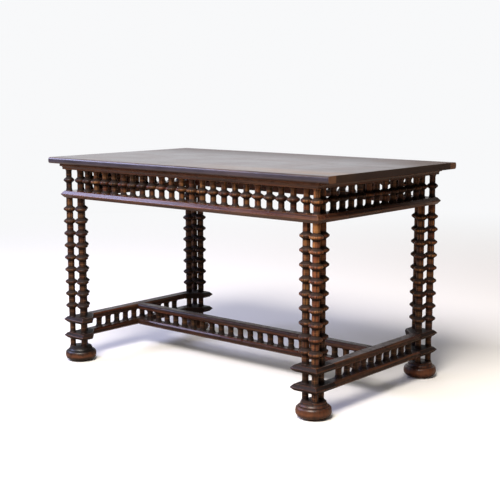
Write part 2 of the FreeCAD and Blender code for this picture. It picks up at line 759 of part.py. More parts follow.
def build_stretchers():
    """Corner plates, the two side stretchers and the long centre stretcher."""
    outline = spindle_outline(
        "plate_gap", "stretcher_shaft_diameter", "stretcher_flare_diameter", "stretcher_flare_height",
        "frieze_tenon_diameter", "frieze_tenon_length")
    for level, z_text in (("lower", LOWER_PLATE_Z), ("upper", UPPER_PLATE_Z)):
        for corner in CORNERS:
            stretcher_plate(level, corner, z_text)
        for side in ("left", "right"):
            side_stretcher_rail(level, side, z_text)
        centre_stretcher_rail(level, z_text)
    for side in ("left", "right"):
        sign_x, _, turn = SIDES[side]
        run = row_run(SIDE_RAIL_LENGTH, "stretcher_side_count")
        across = f"{sign_x} * (leg_span_length / 2 + {SIDE_RAIL_CENTRE})"
        spindle_row(f"side_stretcher_spindles_{side}", outline, run, "stretcher_side_count",
                    (across, "0", LOWER_PLATE_TOP), turn)
    run = row_run(CENTRE_RAIL_LENGTH, "stretcher_centre_count")
    spindle_row("centre_stretcher_spindles", outline, run, "stretcher_centre_count",
                ("0", "0", LOWER_PLATE_TOP), 0)


build_top()
build_frieze()
build_legs()
build_stretchers()
doc.recompute()

for item in doc.Objects:
    if "Invalid" in item.State or "Error" in item.State:
        raise RuntimeError(f"{item.Label} failed: {item.State}")
for body in bodies:
    if body.Shape.isNull() or not body.Shape.isValid():
        raise RuntimeError(f"{body.Label} has no valid shape")

os.makedirs("parts", exist_ok=True)
for body in bodies:
    body.Shape.exportStep(f"parts/{body.Label}.step")
print(f"{len(bodies)} pieces, {sum(len(body.Shape.Solids) for body in bodies)} solids")
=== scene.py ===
"""Looks of a bobbin turned table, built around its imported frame."""

from __future__ import annotations

import logging
import math
import random
from dataclasses import dataclass, field
from enum import Enum
from typing import Callable, Sequence

import bmesh
import bpy
import numpy as np
from mathutils import Matrix, Vector


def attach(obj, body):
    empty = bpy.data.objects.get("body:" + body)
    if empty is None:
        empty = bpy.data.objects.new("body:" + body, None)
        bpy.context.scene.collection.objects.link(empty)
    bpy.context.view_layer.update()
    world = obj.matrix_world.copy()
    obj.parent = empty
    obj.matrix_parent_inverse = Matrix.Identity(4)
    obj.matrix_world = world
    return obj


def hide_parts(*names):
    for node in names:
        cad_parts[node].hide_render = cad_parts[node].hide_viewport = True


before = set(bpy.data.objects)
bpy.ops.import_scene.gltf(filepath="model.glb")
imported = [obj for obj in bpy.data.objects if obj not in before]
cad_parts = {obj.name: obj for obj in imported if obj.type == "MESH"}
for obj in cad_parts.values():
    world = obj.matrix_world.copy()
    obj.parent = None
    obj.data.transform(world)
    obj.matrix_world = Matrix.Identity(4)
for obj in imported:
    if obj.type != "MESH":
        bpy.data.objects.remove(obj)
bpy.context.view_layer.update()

LOG = logging.getLogger("bobbin_table")
BODY = "root"
MM = 0.001
# Rim that keeps a flat's shading flat, and the least width of a flat that gets one, in millimetres
RIM = 0.6
WIDE_FLAT = 8 * RIM
# Distances under which points are one and a cut follows a point, in metres
MERGE_DISTANCE = 1e-6
CUT_TOLERANCE = 1e-7
# Angle from which an edge stays sharp in the shading
SHARP_ANGLE = math.radians(38.0)
# Rise of a slanted face's direction, and share along the grain from which a face shows end grain
SLANTED = (0.3, 0.95)
END_GRAIN_FACING = 0.9
# Hue setting that leaves a colour alone
PLAIN_HUE = 0.5

Colour = tuple[float, float, float]
Point2 = tuple[float, float]
Point3 = tuple[float, float, float]
Plane = tuple[Vector, Vector]
Node = bpy.types.Node
Socket = bpy.types.NodeSocket
Tree = bpy.types.NodeTree
Mesh = bpy.types.Mesh
Shape = bmesh.types.BMesh


class Grain(Enum):
    """The way the wood runs in a piece."""

    ALONG_X = (0, 1, 2)
    ALONG_Y = (1, 0, 2)
    ALONG_Z = (2, 0, 1)


class Station(Enum):
    """A side or a leg of the frame: its signs along X and Y and its turn from the first one."""

    @property
    def label(self) -> str:
        """The station's name as the frame's nodes spell it."""
        return self.name.lower()

    @property
    def lengthwise(self) -> bool:
        """Whether a piece drawn along X runs along the table's length here."""
        return self.value[2] % 180.0 == 0.0

    @property
    def grain(self) -> Grain:
        """The way the wood of a piece drawn along X runs here."""
        return Grain.ALONG_X if self.lengthwise else Grain.ALONG_Y


class Side(Station):
    """One side of the frame."""

    BACK = (0, 1, 0.0)
    FRONT = (0, -1, 180.0)
    RIGHT = (1, 0, -90.0)
    LEFT = (-1, 0, 90.0)


class Corner(Station):
    """One leg."""

    BACK_RIGHT = (1, 1, 0.0)
    BACK_LEFT = (-1, 1, 90.0)
    FRONT_LEFT = (-1, -1, 180.0)
    FRONT_RIGHT = (1, -1, 270.0)


class Nodes:
    """A small hand for laying out one node tree."""

    def __init__(self, tree: Tree) -> None:
        """Keep the tree to work on."""
        self.tree = tree

    def add(self, kind: str, inputs: dict[str | int, object] | None = None, **settings: object) -> Node:
        """Add a node, set it and feed it.

        Args:
            kind: Blender's name of the node type.
            inputs: input name or number to a value, a colour or the output socket that feeds it.
            **settings: properties of the node.

        Returns:
            The new node.
        """
        node = self.tree.nodes.new(kind)
        for name, value in settings.items():
            setattr(node, name, value)
        for key, value in (inputs or {}).items():
            socket = node.inputs[key]
            if isinstance(value, Socket):
                self.tree.links.new(value, socket)
            else:
                socket.default_value = (*value, 1.0) if socket.type == "RGBA" else value
        return node

    def math(self, operation: str, first: object, second: object = 0.0, clamp: bool = False) -> Socket:
        """One step of arithmetic; returns its output socket."""
        step = self.add("ShaderNodeMath", {0: first, 1: second}, operation=operation, use_clamp=clamp)
        return step.outputs[0]

    def times(self, first: object, second: object, clamp: bool = False) -> Socket:
        """One value times another; returns the output socket."""
        return self.math("MULTIPLY", first, second, clamp)

    def line(self, value: Socket, slope: float, start: float) -> Socket:
        """A value times a slope, plus a start; returns the output socket."""
        return self.math("ADD", self.times(value, slope), start)

    def ramp(self, value: Socket, low: float, high: float) -> Socket:
        """A smooth step of a value from low to high; returns its output socket."""
        step = self.add("ShaderNodeMapRange", {0: value, 1: low, 2: high}, interpolation_type="SMOOTHSTEP")
        return step.outputs[0]

    def mix(self, share: object, first: object, second: object) -> Socket:
        """Mix two colours; returns the output socket."""
        return self.add("ShaderNodeMix", {0: share, 6: first, 7: second}, data_type="RGBA").outputs[2]

    def noise(self, vector: Socket, scale: object, detail: float) -> Socket:
        """Plain noise over a vector; returns its value socket."""
        inputs = {"Vector": vector, "Scale": scale, "Detail": detail}
        return self.add("ShaderNodeTexNoise", inputs).outputs[0]

    def stretch(self, vector: Socket, scale: object) -> Socket:
        """A vector with each of its parts scaled; returns its output socket."""
        return self.add("ShaderNodeVectorMath", {0: vector, 1: scale}, operation="MULTIPLY").outputs[0]

    def attribute(self, name: str, output: str = "Fac") -> Socket:
        """An attribute of the piece's mesh; returns its output socket."""
        return self.add("ShaderNodeAttribute", attribute_name=name).outputs[output]


def new_group(name: str, inputs: dict[str, str], outputs: Sequence[str]) -> tuple[Nodes, dict[str, Socket]]:
    """Start a shader node group.

    Args:
        name: the group's name.
        inputs: input name to its kind, Float or Vector.
        outputs: names of the value outputs.

    Returns:
        The hand that lays out the group, and the group's input sockets by name.
    """
    tree = bpy.data.node_groups.new(name, "ShaderNodeTree")
    for label, kind in inputs.items():
        tree.interface.new_socket(label, in_out="INPUT", socket_type=f"NodeSocket{kind}")
    for label in outputs:
        tree.interface.new_socket(label, in_out="OUTPUT", socket_type="NodeSocketFloat")
    hand = Nodes(tree)
    sockets = hand.add("NodeGroupInput").outputs
    return hand, {label: sockets[label] for label in inputs}


def wood_figure_group() -> Tree:
    """Streaks, pores and cloudy patches that follow the grain.

    Returns:
        The group.
    """
    streaks_per_metre, pores_per_metre = 5.0, (45.0, 900.0, 900.0)
    streak_levels, pore_levels, cloud_levels = (0.32, 0.68), (0.56, 0.7), (0.3, 0.7)
    inputs = {"Grain": "Vector", "Streak Width": "Float", "Cloud Scale": "Float"}
    hand, given = new_group("wood_figure", inputs, ("Streaks", "Pores", "Clouds"))
    grain = given["Grain"]
    across = hand.math("DIVIDE", 1.0, given["Streak Width"])
    scale = hand.add("ShaderNodeCombineXYZ", {"X": streaks_per_metre, "Y": across, "Z": across}).outputs[0]
    streaks = hand.noise(hand.stretch(grain, scale), 1.0, 4.0)
    pores = hand.noise(hand.stretch(grain, pores_per_metre), 1.0, 2.0)
    clouds = hand.noise(grain, given["Cloud Scale"], 3.0)
    hand.add("NodeGroupOutput", {
        "Streaks": hand.ramp(streaks, *streak_levels), "Pores": hand.ramp(pores, *pore_levels),
        "Clouds": hand.ramp(clouds, *cloud_levels)})
    return hand.tree


def rub_and_grime_group() -> Tree:
    """Where rubbed crests turn pale and hollows dark: rubbing and dirt, and on the turned pieces also a
    painted highlight on the shafts and painted shade in the hollows.

    Returns:
        The group.
    """
    patches_per_metre, crest_shift, hollow_shift = 70.0, 0.35, 1.55
    rub_and_highlight_levels, grime_and_shade_levels = (0.3, 0.95), (0.15, 0.85)
    hand, given = new_group("rub_and_grime", {"Wear": "Float", "Place": "Vector"}, ("Rubbed", "Grime"))
    patchy = hand.noise(given["Place"], patches_per_metre, 4.0)
    crest = hand.times(given["Wear"], hand.math("ADD", patchy, crest_shift))
    hollow = hand.times(given["Wear"], hand.math("SUBTRACT", patchy, hollow_shift))
    hand.add("NodeGroupOutput", {
        "Rubbed": hand.ramp(crest, *rub_and_highlight_levels), "Grime": hand.ramp(hollow, *grime_and_shade_levels)})
    return hand.tree


@dataclass(frozen=True)
class WoodFinish:
    """One polished wood, from its bare colours to its gloss.

    Shares run from 0 to 1, levels are heights above the floor in metres, and gloss is the roughness of the
    wood's smoothest and dullest patches. A cloud of the value cloud_even leaves the wood's shade alone.
    """

    name: str
    dark: Colour
    warm: Colour
    rubbed: Colour
    grime: Colour
    streak_width: float
    rub_share: float
    grime_share: float
    gloss: Point2
    shine: float
    coat: float
    relief: float = 0.12
    relief_depth: float = 0.0006
    coat_roughness: float = 0.22
    cloud_scale: float = 9.0
    cloud_share: float = 0.35
    cloud_even: float = 0.97
    tint_share: float = 0.5
    hue_drift: float = 0.0
    low_shade: float = 1.0
    low_levels: Point2 = (0.12, 0.5)
    pore_share: float = 0.45
    grime_dulling: float = 0.4
    end_share: float = 0.8
    end_dark: Colour = (0.03, 0.015, 0.009)
    end_pale: Colour = (0.2, 0.1, 0.05)

    def colour(self, hand: Nodes, figure: Node, place: Socket) -> Socket:
        """The wood's colour before shade and wear.

        Args:
            hand: lays out the material's tree.
            figure: the placed figure group.
            place: the piece's own coordinates; not used here, only by the top's finish.

        Returns:
            A colour socket.
        """
        return hand.mix(figure.outputs["Streaks"], self.dark, self.warm)

    def roughness(self, hand: Nodes, figure: Node, place: Socket) -> Socket:
        """How dull the wood is before wear; takes what colour does and returns a value socket."""
        smooth, dull = self.gloss
        return hand.line(figure.outputs["Clouds"], dull - smooth, smooth)

    def shaded(self, hand: Nodes, figure: Node, place: Socket) -> Socket:
        """The wood's colour with its clouds, its own tint and its darkening towards the floor.

        Args:
            hand: lays out the material's tree.
            figure: the placed figure group.
            place: the piece's own coordinates.

        Returns:
            A colour socket.
        """
        clouds = figure.outputs["Clouds"]
        level = hand.add("ShaderNodeSeparateXYZ", {0: place}).outputs["Z"]
        cloudy = hand.line(clouds, self.cloud_share, 1.0 - self.cloud_share * self.cloud_even)
        tinted = hand.line(hand.attribute("tint"), self.tint_share, 1.0 - self.tint_share / 2)
        lifted = hand.line(hand.ramp(level, *self.low_levels), 1.0 - self.low_shade, self.low_shade)
        hue = hand.line(hand.math("SUBTRACT", clouds, 0.5), self.hue_drift, PLAIN_HUE)
        return hand.add("ShaderNodeHueSaturation", {
            "Color": self.colour(hand, figure, place), "Hue": hue,
            "Value": hand.times(hand.times(cloudy, tinted), lifted)}).outputs[0]

    def material(self, figure_group: Tree, wear_and_shade_group: Tree) -> bpy.types.Material:
        """Lay out the finish.

        Args:
            figure_group: streaks, pores and clouds.
            wear_and_shade_group: rubbing and dirt, with a painted highlight and painted shade on the turned
                pieces.

        Returns:
            The new material.
        """
        material = bpy.data.materials.new(self.name)
        material.use_nodes = True
        material.node_tree.nodes.clear()
        hand = Nodes(material.node_tree)
        place = hand.add("ShaderNodeTexCoord").outputs["Object"]
        grain, wear = hand.attribute("grain", "Vector"), hand.attribute("wear")
        figure = hand.add("ShaderNodeGroup", {
            "Grain": grain, "Streak Width": self.streak_width, "Cloud Scale": self.cloud_scale},
            node_tree=figure_group)
        wear_and_shade_masks = hand.add("ShaderNodeGroup", {"Wear": wear, "Place": place}, node_tree=wear_and_shade_group)
        end, pores, grime = hand.attribute("end_grain"), figure.outputs["Pores"], wear_and_shade_masks.outputs["Grime"]

        colour = self.shaded(hand, figure, place)
        # Rubbed and grime layers: rubbing and dirt, and on the turned pieces also a painted highlight on the
        # shafts and painted shade where parts meet.
        for mask, share, over in (
                (pores, self.pore_share, self.grime), (end, self.end_share, self.end_dark),
                (end, -self.end_share, self.end_pale), (wear_and_shade_masks.outputs["Rubbed"], self.rub_share, self.rubbed),
                (grime, self.grime_share, self.grime)):
            colour = hand.mix(hand.times(mask, share, clamp=True), colour, over)

        dulled = hand.times(grime, self.grime_dulling)
        rough = hand.math("ADD", self.roughness(hand, figure, place), dulled, clamp=True)
        height = hand.math("SUBTRACT", hand.times(figure.outputs["Streaks"], 0.5), pores)
        bump = hand.add("ShaderNodeBump", {
            "Strength": self.relief, "Distance": self.relief_depth, "Height": height})
        wax = hand.times(hand.math("SUBTRACT", 1.0, grime), self.coat)
        shader = hand.add("ShaderNodeBsdfPrincipled", {
            "Base Color": colour, "Roughness": rough, "Normal": bump.outputs[0], "Coat Weight": wax,
            "Coat Roughness": self.coat_roughness, "Specular IOR Level": self.shine})
        hand.add("ShaderNodeOutputMaterial", {"Surface": shader.outputs[0]})
        return material


@dataclass(frozen=True)
class TopFinish(WoodFinish):
    """The waxed top, with painted shade and a painted bluish reflection round its edge, browner at the front
    right and duller towards its back and right.

    A dulling is where it starts and ends, in metres, and how much roughness it adds.
    """

    # Edge colour: painted shade with a painted bluish reflection, on every face below the top's upper face.
    edge: Colour = (0.04, 0.034, 0.048)
    edge_levels: Point2 = (0.7325, 0.7395)
    band: Colour = (0.17, 0.095, 0.048)
    band_middle: float = -0.285
    band_fade: Point2 = (0.012, 0.078)
    band_start: Point2 = (-0.1, 0.35)
    band_wander: float = 0.02
    band_patchy: float = 0.4
    back_dulling: Point3 = (0.05, 0.36, 0.18)
    right_dulling: Point3 = (0.25, 0.65, 0.07)

    def colour(self, hand: Nodes, figure: Node, place: Socket) -> Socket:
        """The wood's colour before shade and wear, with the painted shade and bluish reflection of its edge
        and with its band.

        Args:
            hand: lays out the material's tree.
            figure: the placed figure group.
            place: the piece's own coordinates.

        Returns:
            A colour socket.
        """
        along, depth, level = hand.add("ShaderNodeSeparateXYZ", {0: place}).outputs
        streaks = figure.outputs["Streaks"]
        # Painted shade and painted bluish reflection on the nosing, the ends and the underside.
        plain = hand.mix(hand.ramp(level, *self.edge_levels), self.edge, super().colour(hand, figure, place))
        wander = hand.times(hand.math("SUBTRACT", streaks, 0.5), self.band_wander)
        off = hand.math("ABSOLUTE", hand.math("SUBTRACT", hand.math("ADD", depth, wander), self.band_middle))
        inside = hand.math("SUBTRACT", 1.0, hand.ramp(off, *self.band_fade))
        inside = hand.times(inside, hand.ramp(along, *self.band_start))
        patchy = hand.line(streaks, self.band_patchy, 1.0 - self.band_patchy)
        return hand.mix(hand.times(inside, patchy), plain, self.band)

    def roughness(self, hand: Nodes, figure: Node, place: Socket) -> Socket:
        """How dull the wood is before wear.

        Args:
            hand: lays out the material's tree.
            figure: the placed figure group.
            place: the piece's own coordinates.

        Returns:
            A value socket.
        """
        rough = super().roughness(hand, figure, place)
        along, depth, _ = hand.add("ShaderNodeSeparateXYZ", {0: place}).outputs
        for where, (start, end, more) in ((depth, self.back_dulling), (along, self.right_dulling)):
            rough = hand.math("ADD", rough, hand.times(hand.ramp(where, start, end), more))
        return rough


# In the turned wood the rubbed colour also stands for a painted highlight on the shafts, and the grime colour
# for painted shade in the hollows.
TURNED_WOOD = WoodFinish(
    name="turned_wood", dark=(0.028, 0.0095, 0.004), warm=(0.28, 0.1, 0.035), rubbed=(0.3, 0.155, 0.072),
    grime=(0.011, 0.0055, 0.0033), streak_width=0.0042, rub_share=0.6, grime_share=0.95, gloss=(0.4, 0.54),
    shine=0.28, coat=0.06, cloud_scale=21.0, cloud_share=0.6, hue_drift=0.035, low_shade=0.5)
FOOT_WOOD = WoodFinish(
    name="foot_wood", dark=(0.024, 0.0085, 0.0045), warm=(0.1, 0.033, 0.014), rubbed=(0.2, 0.07, 0.028),
    grime=(0.006, 0.004, 0.0035), streak_width=0.009, rub_share=0.55, grime_share=0.95, gloss=(0.36, 0.5),
    shine=0.36, coat=0.05)
RAIL_WOOD = WoodFinish(
    name="rail_wood", dark=(0.022, 0.008, 0.0045), warm=(0.105, 0.035, 0.016), rubbed=(0.19, 0.09, 0.05),
    grime=(0.008, 0.005, 0.0042), streak_width=0.006, rub_share=0.5, grime_share=0.9, gloss=(0.24, 0.36),
    shine=0.22, coat=0.35, cloud_share=0.45, hue_drift=0.02)
TOP_WOOD = TopFinish(
    name="top_wood", dark=(0.054, 0.036, 0.029), warm=(0.113, 0.079, 0.066), rubbed=(0.15, 0.1, 0.08),
    grime=(0.022, 0.012, 0.008), streak_width=0.011, rub_share=0.3, grime_share=0.6, gloss=(0.29, 0.36),
    shine=0.5, coat=0.1)
BEARER_WOOD = WoodFinish(
    name="bearer_wood", dark=(0.07, 0.042, 0.028), warm=(0.15, 0.09, 0.06), rubbed=(0.2, 0.13, 0.09),
    grime=(0.02, 0.013, 0.01), streak_width=0.008, rub_share=0.3, grime_share=0.5, gloss=(0.55, 0.7),
    shine=0.3, coat=0.0)


class Finishes:
    """Every finish of the table, laid out once."""

    def __init__(self) -> None:
        """Build the shared groups and one material for each finish."""
        figure, wear = wood_figure_group(), rub_and_grime_group()
        self.made = {
            finish.name: finish.material(figure, wear)
            for finish in (TURNED_WOOD, FOOT_WOOD, RAIL_WOOD, TOP_WOOD, BEARER_WOOD)
        }

    def __getitem__(self, name: str) -> bpy.types.Material:
        """The material of a finish by its name."""
        return self.made[name]


def place_floats(mesh: Mesh, name: str, domain: str, values: np.ndarray) -> None:
    """Store one number for each point or face of a mesh."""
    layer = mesh.attributes.new(name, "FLOAT", domain)
    layer.data.foreach_set("value", np.ascontiguousarray(values, dtype=np.float32))


def read_rows(items: bpy.types.bpy_prop_collection, name: str, width: int) -> np.ndarray:
    """Read numbers from a mesh.

    Args:
        items: the mesh's points, faces or stored values.
        name: what to read of each.
        width: how many numbers each has.

    Returns:
        A row of numbers for each item.
    """
    flat = np.empty(len(items) * width, np.float32)
    items.foreach_get(name, flat)
    return flat.reshape(-1, width)


def lay_grain(mesh: Mesh, grain: Grain, offset: np.ndarray) -> None:
    """Store coordinates that run along the grain first.

    Args:
        mesh: the finished mesh.
        grain: which way the wood runs.
        offset: one shift for each point, or for all, so that no two pieces share a figure.
    """
    points = read_rows(mesh.vertices, "co", 3)[:, grain.value] + offset
    layer = mesh.attributes.new("grain", "FLOAT_VECTOR", "POINT")
    layer.data.foreach_set("vector", np.ascontiguousarray(points, dtype=np.float32).ravel())


def hand_over(label: str, mesh: Mesh, nodes: Sequence[str]) -> None:
    """Put a finished mesh into the scene in place of its nodes.

    Args:
        label: the piece's name.
        mesh: the mesh, in the frame's own coordinates.
        nodes: the frame's nodes that the piece stands for.
    """
    piece = bpy.data.objects.new(label, mesh)
    bpy.context.scene.collection.objects.link(piece)
    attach(piece, BODY)
    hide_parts(*nodes)
    LOG.info("%s: %d faces for %s", label, len(mesh.polygons), ", ".join(nodes))


@dataclass
class Turning:
    """A turned outline, drawn upward in millimetres as height, radius and wear, where the wear also paints
    shade into hollows and a highlight onto shafts.
    """

    points: list[Point3] = field(default_factory=list)

    def to(self, z: float, r: float, wear: float = 0.0) -> Turning:
        """Go straight to a point."""
        self.points.append((z, r, wear))
        return self

    def sweep(self, z: float, r: float, wear: float, steps: int, shape: Callable[[float], float]) -> Turning:
        """Go to a point along a curve.

        Args:
            z: height of the end.
            r: radius at the end.
            wear: wear at the end.
            steps: straight pieces in the curve.
            shape: share of the radius change made at each share of the height change.

        Returns:
            The outline itself.
        """
        start_z, start_r, start_wear_and_shade = self.points[-1]
        for step in range(1, steps + 1):
            share = step / steps
            self.to(start_z + (z - start_z) * share, start_r + (r - start_r) * shape(share),
                    start_wear_and_shade + (wear - start_wear_and_shade) * share)
        return self

    def cove(self, z: float, r: float, wear: float = 0.0, steps: int = 6, depth: float = 0.4) -> Turning:
        """Go to a point along a hollow that runs out at the thinner end.

        Args:
            z: height of the end.
            r: radius at the end.
            wear: wear at the end.
            steps: straight pieces in the hollow.
            depth: 0 for a straight slope and 1 for a quarter round.

        Returns:
            The outline itself.
        """
        flat = 1 - depth
        if r > self.points[-1][1]:
            return self.sweep(z, r, wear, steps, lambda t: flat * t + depth * (1 - math.sqrt(1 - t * t)))
        return self.sweep(z, r, wear, steps, lambda t: flat * t + depth * math.sqrt(1 - (1 - t) ** 2))

    def swell(self, z: float, r: float, wear: float, steps: int) -> Turning:
        """Go to a point along a quarter round that is upright at the thicker end.

        Args:
            z: height of the end.
            r: radius at the end.
            wear: wear at the end.
            steps: straight pieces in the round.

        Returns:
            The outline itself.
        """
        if r > self.points[-1][1]:
            return self.sweep(z, r, wear, steps, lambda t: math.sqrt(1 - (1 - t) ** 2))
        return self.sweep(z, r, wear, steps, lambda t: 1 - math.sqrt(max(0.0, 1 - t * t)))

    def ring(self, centre: float, half: float, shaft: float, tip: float, nose: float) -> Turning:
        """A collar with a rounded nose between two slopes. Both slopes are darkened with dirt and painted
        shade, the upper one most, and the quirks at its roots with painted shade.

        Args:
            centre: height of the collar's tip.
            half: half of the collar's height.
            shaft: radius of the shaft.
            tip: radius of the collar.
            nose: half of the nose's height.

        Returns:
            The outline itself.
        """
        quirk, root = 0.4, shaft + 0.5
        crest, crest_radius, nose_radius = nose * 0.7, tip - 0.3, tip - 1.2
        steps, depth = 5, 0.1
        self.to(centre - half - quirk, shaft, -0.9).to(centre - half, root, -0.8)
        self.cove(centre - nose, nose_radius, -0.6, steps, depth).to(centre - crest, crest_radius, 0.3)
        self.to(centre, tip, -0.2).to(centre + crest, crest_radius, -0.15)
        self.to(centre + nose, nose_radius, -0.6).cove(centre + half, root, -0.95, steps, depth)
        return self.to(centre + half + quirk, shaft, -1.0)


@dataclass(frozen=True)
class SpindleSizes:
    """Sizes of one kind of spindle, in millimetres."""

    length: float
    shaft: float
    flare: float
    flare_height: float
    stub: float
    ring_tip: float = 0.0
    ring_half: float = 0.0
    ring_nose: float = 3.6
    ring_heights: tuple[float, ...] = ()
    jitter: float = 0.0
    stub_length: float = 4.0
    stub_step: float = 0.02
    lip: float = 1.8
    lip_round: float = 0.6
    groove: float = 0.5
    shaft_swell: float = 0.25
    last_swell: float = 0.2

    def outline(self, seed: int) -> Turning:
        """The spindle's outline from its lower stub to its upper one.

        Args:
            seed: fixes the small unevenness of hand turning.

        Returns:
            The outline.
        """
        hand = random.Random(seed)
        edge, face, neck = self.flare - 0.5, self.flare - 0.3, self.flare - 0.9
        top, upper = self.length, self.length - self.flare_height
        # The dark wear at the stubs and flares, where the spindle meets its rail or plate, is dirt and
        # painted shade.
        turning = Turning().to(-self.stub_length, self.stub, -1.0).to(-self.stub_step, self.stub, -1.0)
        turning.to(0.0, edge, -1.0).to(self.lip_round, self.flare, -0.4).to(self.lip, face, -0.2)
        turning.to(self.lip + self.groove, neck, -0.8).cove(self.flare_height, self.shaft, -0.7)
        level = self.flare_height
        for height in self.ring_heights:
            centre = height + hand.uniform(-self.jitter, self.jitter)
            tip = self.ring_tip + hand.uniform(-self.jitter, 0.0)
            # The pale wear in the middle of each shaft is rubbing and a painted highlight.
            turning.to((level + centre - self.ring_half) / 2, self.shaft + self.shaft_swell, 0.7)
            turning.ring(centre, self.ring_half, self.shaft, tip, self.ring_nose)
            level = centre + self.ring_half
        turning.to((level + upper) / 2, self.shaft + self.last_swell, 0.7).to(upper, self.shaft)
        turning.cove(top - self.lip - self.groove, neck, -0.6).to(top - self.lip, face, 0.1)
        turning.to(top - self.lip_round, self.flare, -0.2).to(top, edge, -1.0)
        return turning.to(top + self.stub_step, self.stub, -1.0).to(top + self.stub_length, self.stub, -1.0)


@dataclass
class Batch:
    """Like pieces that are turned together, with an axis and a tint for each.

    The axes are in metres and the base, which is the height of the outline's zero, in millimetres. The seed
    fixes how far round each piece is turned.
    """

    label: str
    nodes: list[str]
    outline: Turning
    base: float
    facets: int
    seed: int
    axes: list[Point2]
    tints: Sequence[float]
    slot: str = "turned_wood"

    def blank(self) -> Mesh:
        """The outline and the axes as one mesh, told apart by their station value.

        Returns:
            The mesh for the lathe.
        """
        points, count, extra = self.outline.points, len(self.outline.points), len(self.axes)
        mesh = bpy.data.meshes.new(self.label)
        places = [(0.0, 0.0, z * MM) for z, _, _ in points] + [(x, y, self.base * MM) for x, y in self.axes]
        mesh.from_pydata(places, [(index, index + 1) for index in range(count - 1)], [])
        rows = {
            "station": [0.0] * count + [1.0] * extra,
            "turn_radius": [r * MM for _, r, _ in points] + [0.0] * extra,
            "wear": [wear for _, _, wear in points] + [0.0] * extra,
            "tint": [0.0] * count + list(self.tints),
        }
        for name, values in rows.items():
            place_floats(mesh, name, "POINT", np.array(values))
        return mesh


class Lathe:
    """A node tree that turns an outline and sets a copy up at every axis."""

    figure_shift = (7.3, 3.1, 5.7)

    def __init__(self, finishes: Finishes) -> None:
        """Build the tree; its inputs are the facets round, the seed and the finish.

        Args:
            finishes: the table's finishes.
        """
        self.finishes = finishes
        self.tree = bpy.data.node_groups.new("turned_copies", "GeometryNodeTree")
        face = self.tree.interface
        face.new_socket("Outline and Stations", in_out="INPUT", socket_type="NodeSocketGeometry")
        self.sockets = {
            name: face.new_socket(name, in_out="INPUT", socket_type=f"NodeSocket{kind}").identifier
            for name, kind in (("Facets", "Int"), ("Seed", "Int"), ("Finish", "Material"))
        }
        face.new_socket("Turned Pieces", in_out="OUTPUT", socket_type="NodeSocketGeometry")
        self.lay_out(Nodes(self.tree))

    def lay_out(self, hand: Nodes) -> None:
        """Part outline and stations, turn the outline, set up a copy at each station and dress them all.

        Args:
            hand: lays out the tree.
        """
        given = hand.add("NodeGroupInput").outputs
        station = hand.add("GeometryNodeInputNamedAttribute", {"Name": "station"}, data_type="FLOAT")
        chosen = hand.add("FunctionNodeCompare", {0: station.outputs[0], 1: 0.5}, operation="GREATER_THAN")
        parted = hand.add(
            "GeometryNodeSeparateGeometry", {0: given[0], 1: chosen.outputs[0]}, domain="POINT")
        outline = hand.add("GeometryNodeMeshToCurve", {0: parted.outputs["Inverted"]})
        radius = hand.add("GeometryNodeInputNamedAttribute", {"Name": "turn_radius"}, data_type="FLOAT")
        circle = hand.add("GeometryNodeCurvePrimitiveCircle", {"Resolution": given["Facets"], "Radius": 1.0})
        turned = hand.add("GeometryNodeCurveToMesh", {
            "Curve": outline.outputs[0], "Profile Curve": circle.outputs[0], "Scale": radius.outputs[0],
            "Fill Caps": True})
        bare = hand.add("GeometryNodeRemoveAttribute", {"Geometry": turned.outputs[0], "Name": "tint"})
        turn = hand.add("FunctionNodeRandomValue", {2: 0.0, 3: 2 * math.pi, "Seed": given["Seed"]},
                        data_type="FLOAT")
        spin = hand.add("ShaderNodeCombineXYZ", {"Z": turn.outputs[1]})
        copies = hand.add("GeometryNodeInstanceOnPoints", {
            "Points": parted.outputs["Selection"], "Instance": bare.outputs[0], "Rotation": spin.outputs[0]})
        real = hand.add("GeometryNodeRealizeInstances", {"Geometry": copies.outputs[0]})
        dressed = hand.add(
            "GeometryNodeSetMaterial", {"Geometry": real.outputs[0], "Material": given["Finish"]})
        hand.add("NodeGroupOutput", {0: dressed.outputs[0]})

    def turn(self, batch: Batch) -> None:
        """Turn a batch, make it a plain mesh with its wear, tint and grain, and put it in place.

        Args:
            batch: the pieces to turn.
        """
        blank = bpy.data.objects.new(batch.label, batch.blank())
        bpy.context.scene.collection.objects.link(blank)
        lathe = blank.modifiers.new("turned", "NODES")
        lathe.node_group = self.tree
        lathe[self.sockets["Facets"]] = batch.facets
        lathe[self.sockets["Seed"]] = batch.seed
        lathe[self.sockets["Finish"]] = self.finishes[batch.slot]
        graph = bpy.context.evaluated_depsgraph_get()
        turned = bpy.data.meshes.new_from_object(
            blank.evaluated_get(graph), preserve_all_data_layers=True, depsgraph=graph)
        bpy.data.objects.remove(blank)
        close_up(turned)
        for name in ("station", "turn_radius"):
            layer = turned.attributes.get(name)
            if layer:
                turned.attributes.remove(layer)
        tints = read_rows(turned.attributes["tint"].data, "value", 1)
        lay_grain(turned, Grain.ALONG_Z, tints * self.figure_shift)
        hand_over(batch.label, turned, batch.nodes)


def uneven(count: int, low: float, high: float, seed: int) -> list[float]:
    """Tints of like pieces, each a little lighter or darker."""
    hand = random.Random(seed)
    return [hand.uniform(low, high) for _ in range(count)]


def close_up(mesh: Mesh) -> None:
    """Merge doubles, turn all faces outward and shade a mesh smooth between its sharp edges.

    Args:
        mesh: the mesh to work on.
    """
    shape = bmesh.new()
    shape.from_mesh(mesh)
    bmesh.ops.remove_doubles(shape, verts=shape.verts, dist=MERGE_DISTANCE)
    bmesh.ops.recalc_face_normals(shape, faces=shape.faces)
    shape.to_mesh(mesh)
    shape.free()
    mesh.shade_smooth()
    mesh.set_sharp_from_angle(angle=SHARP_ANGLE)


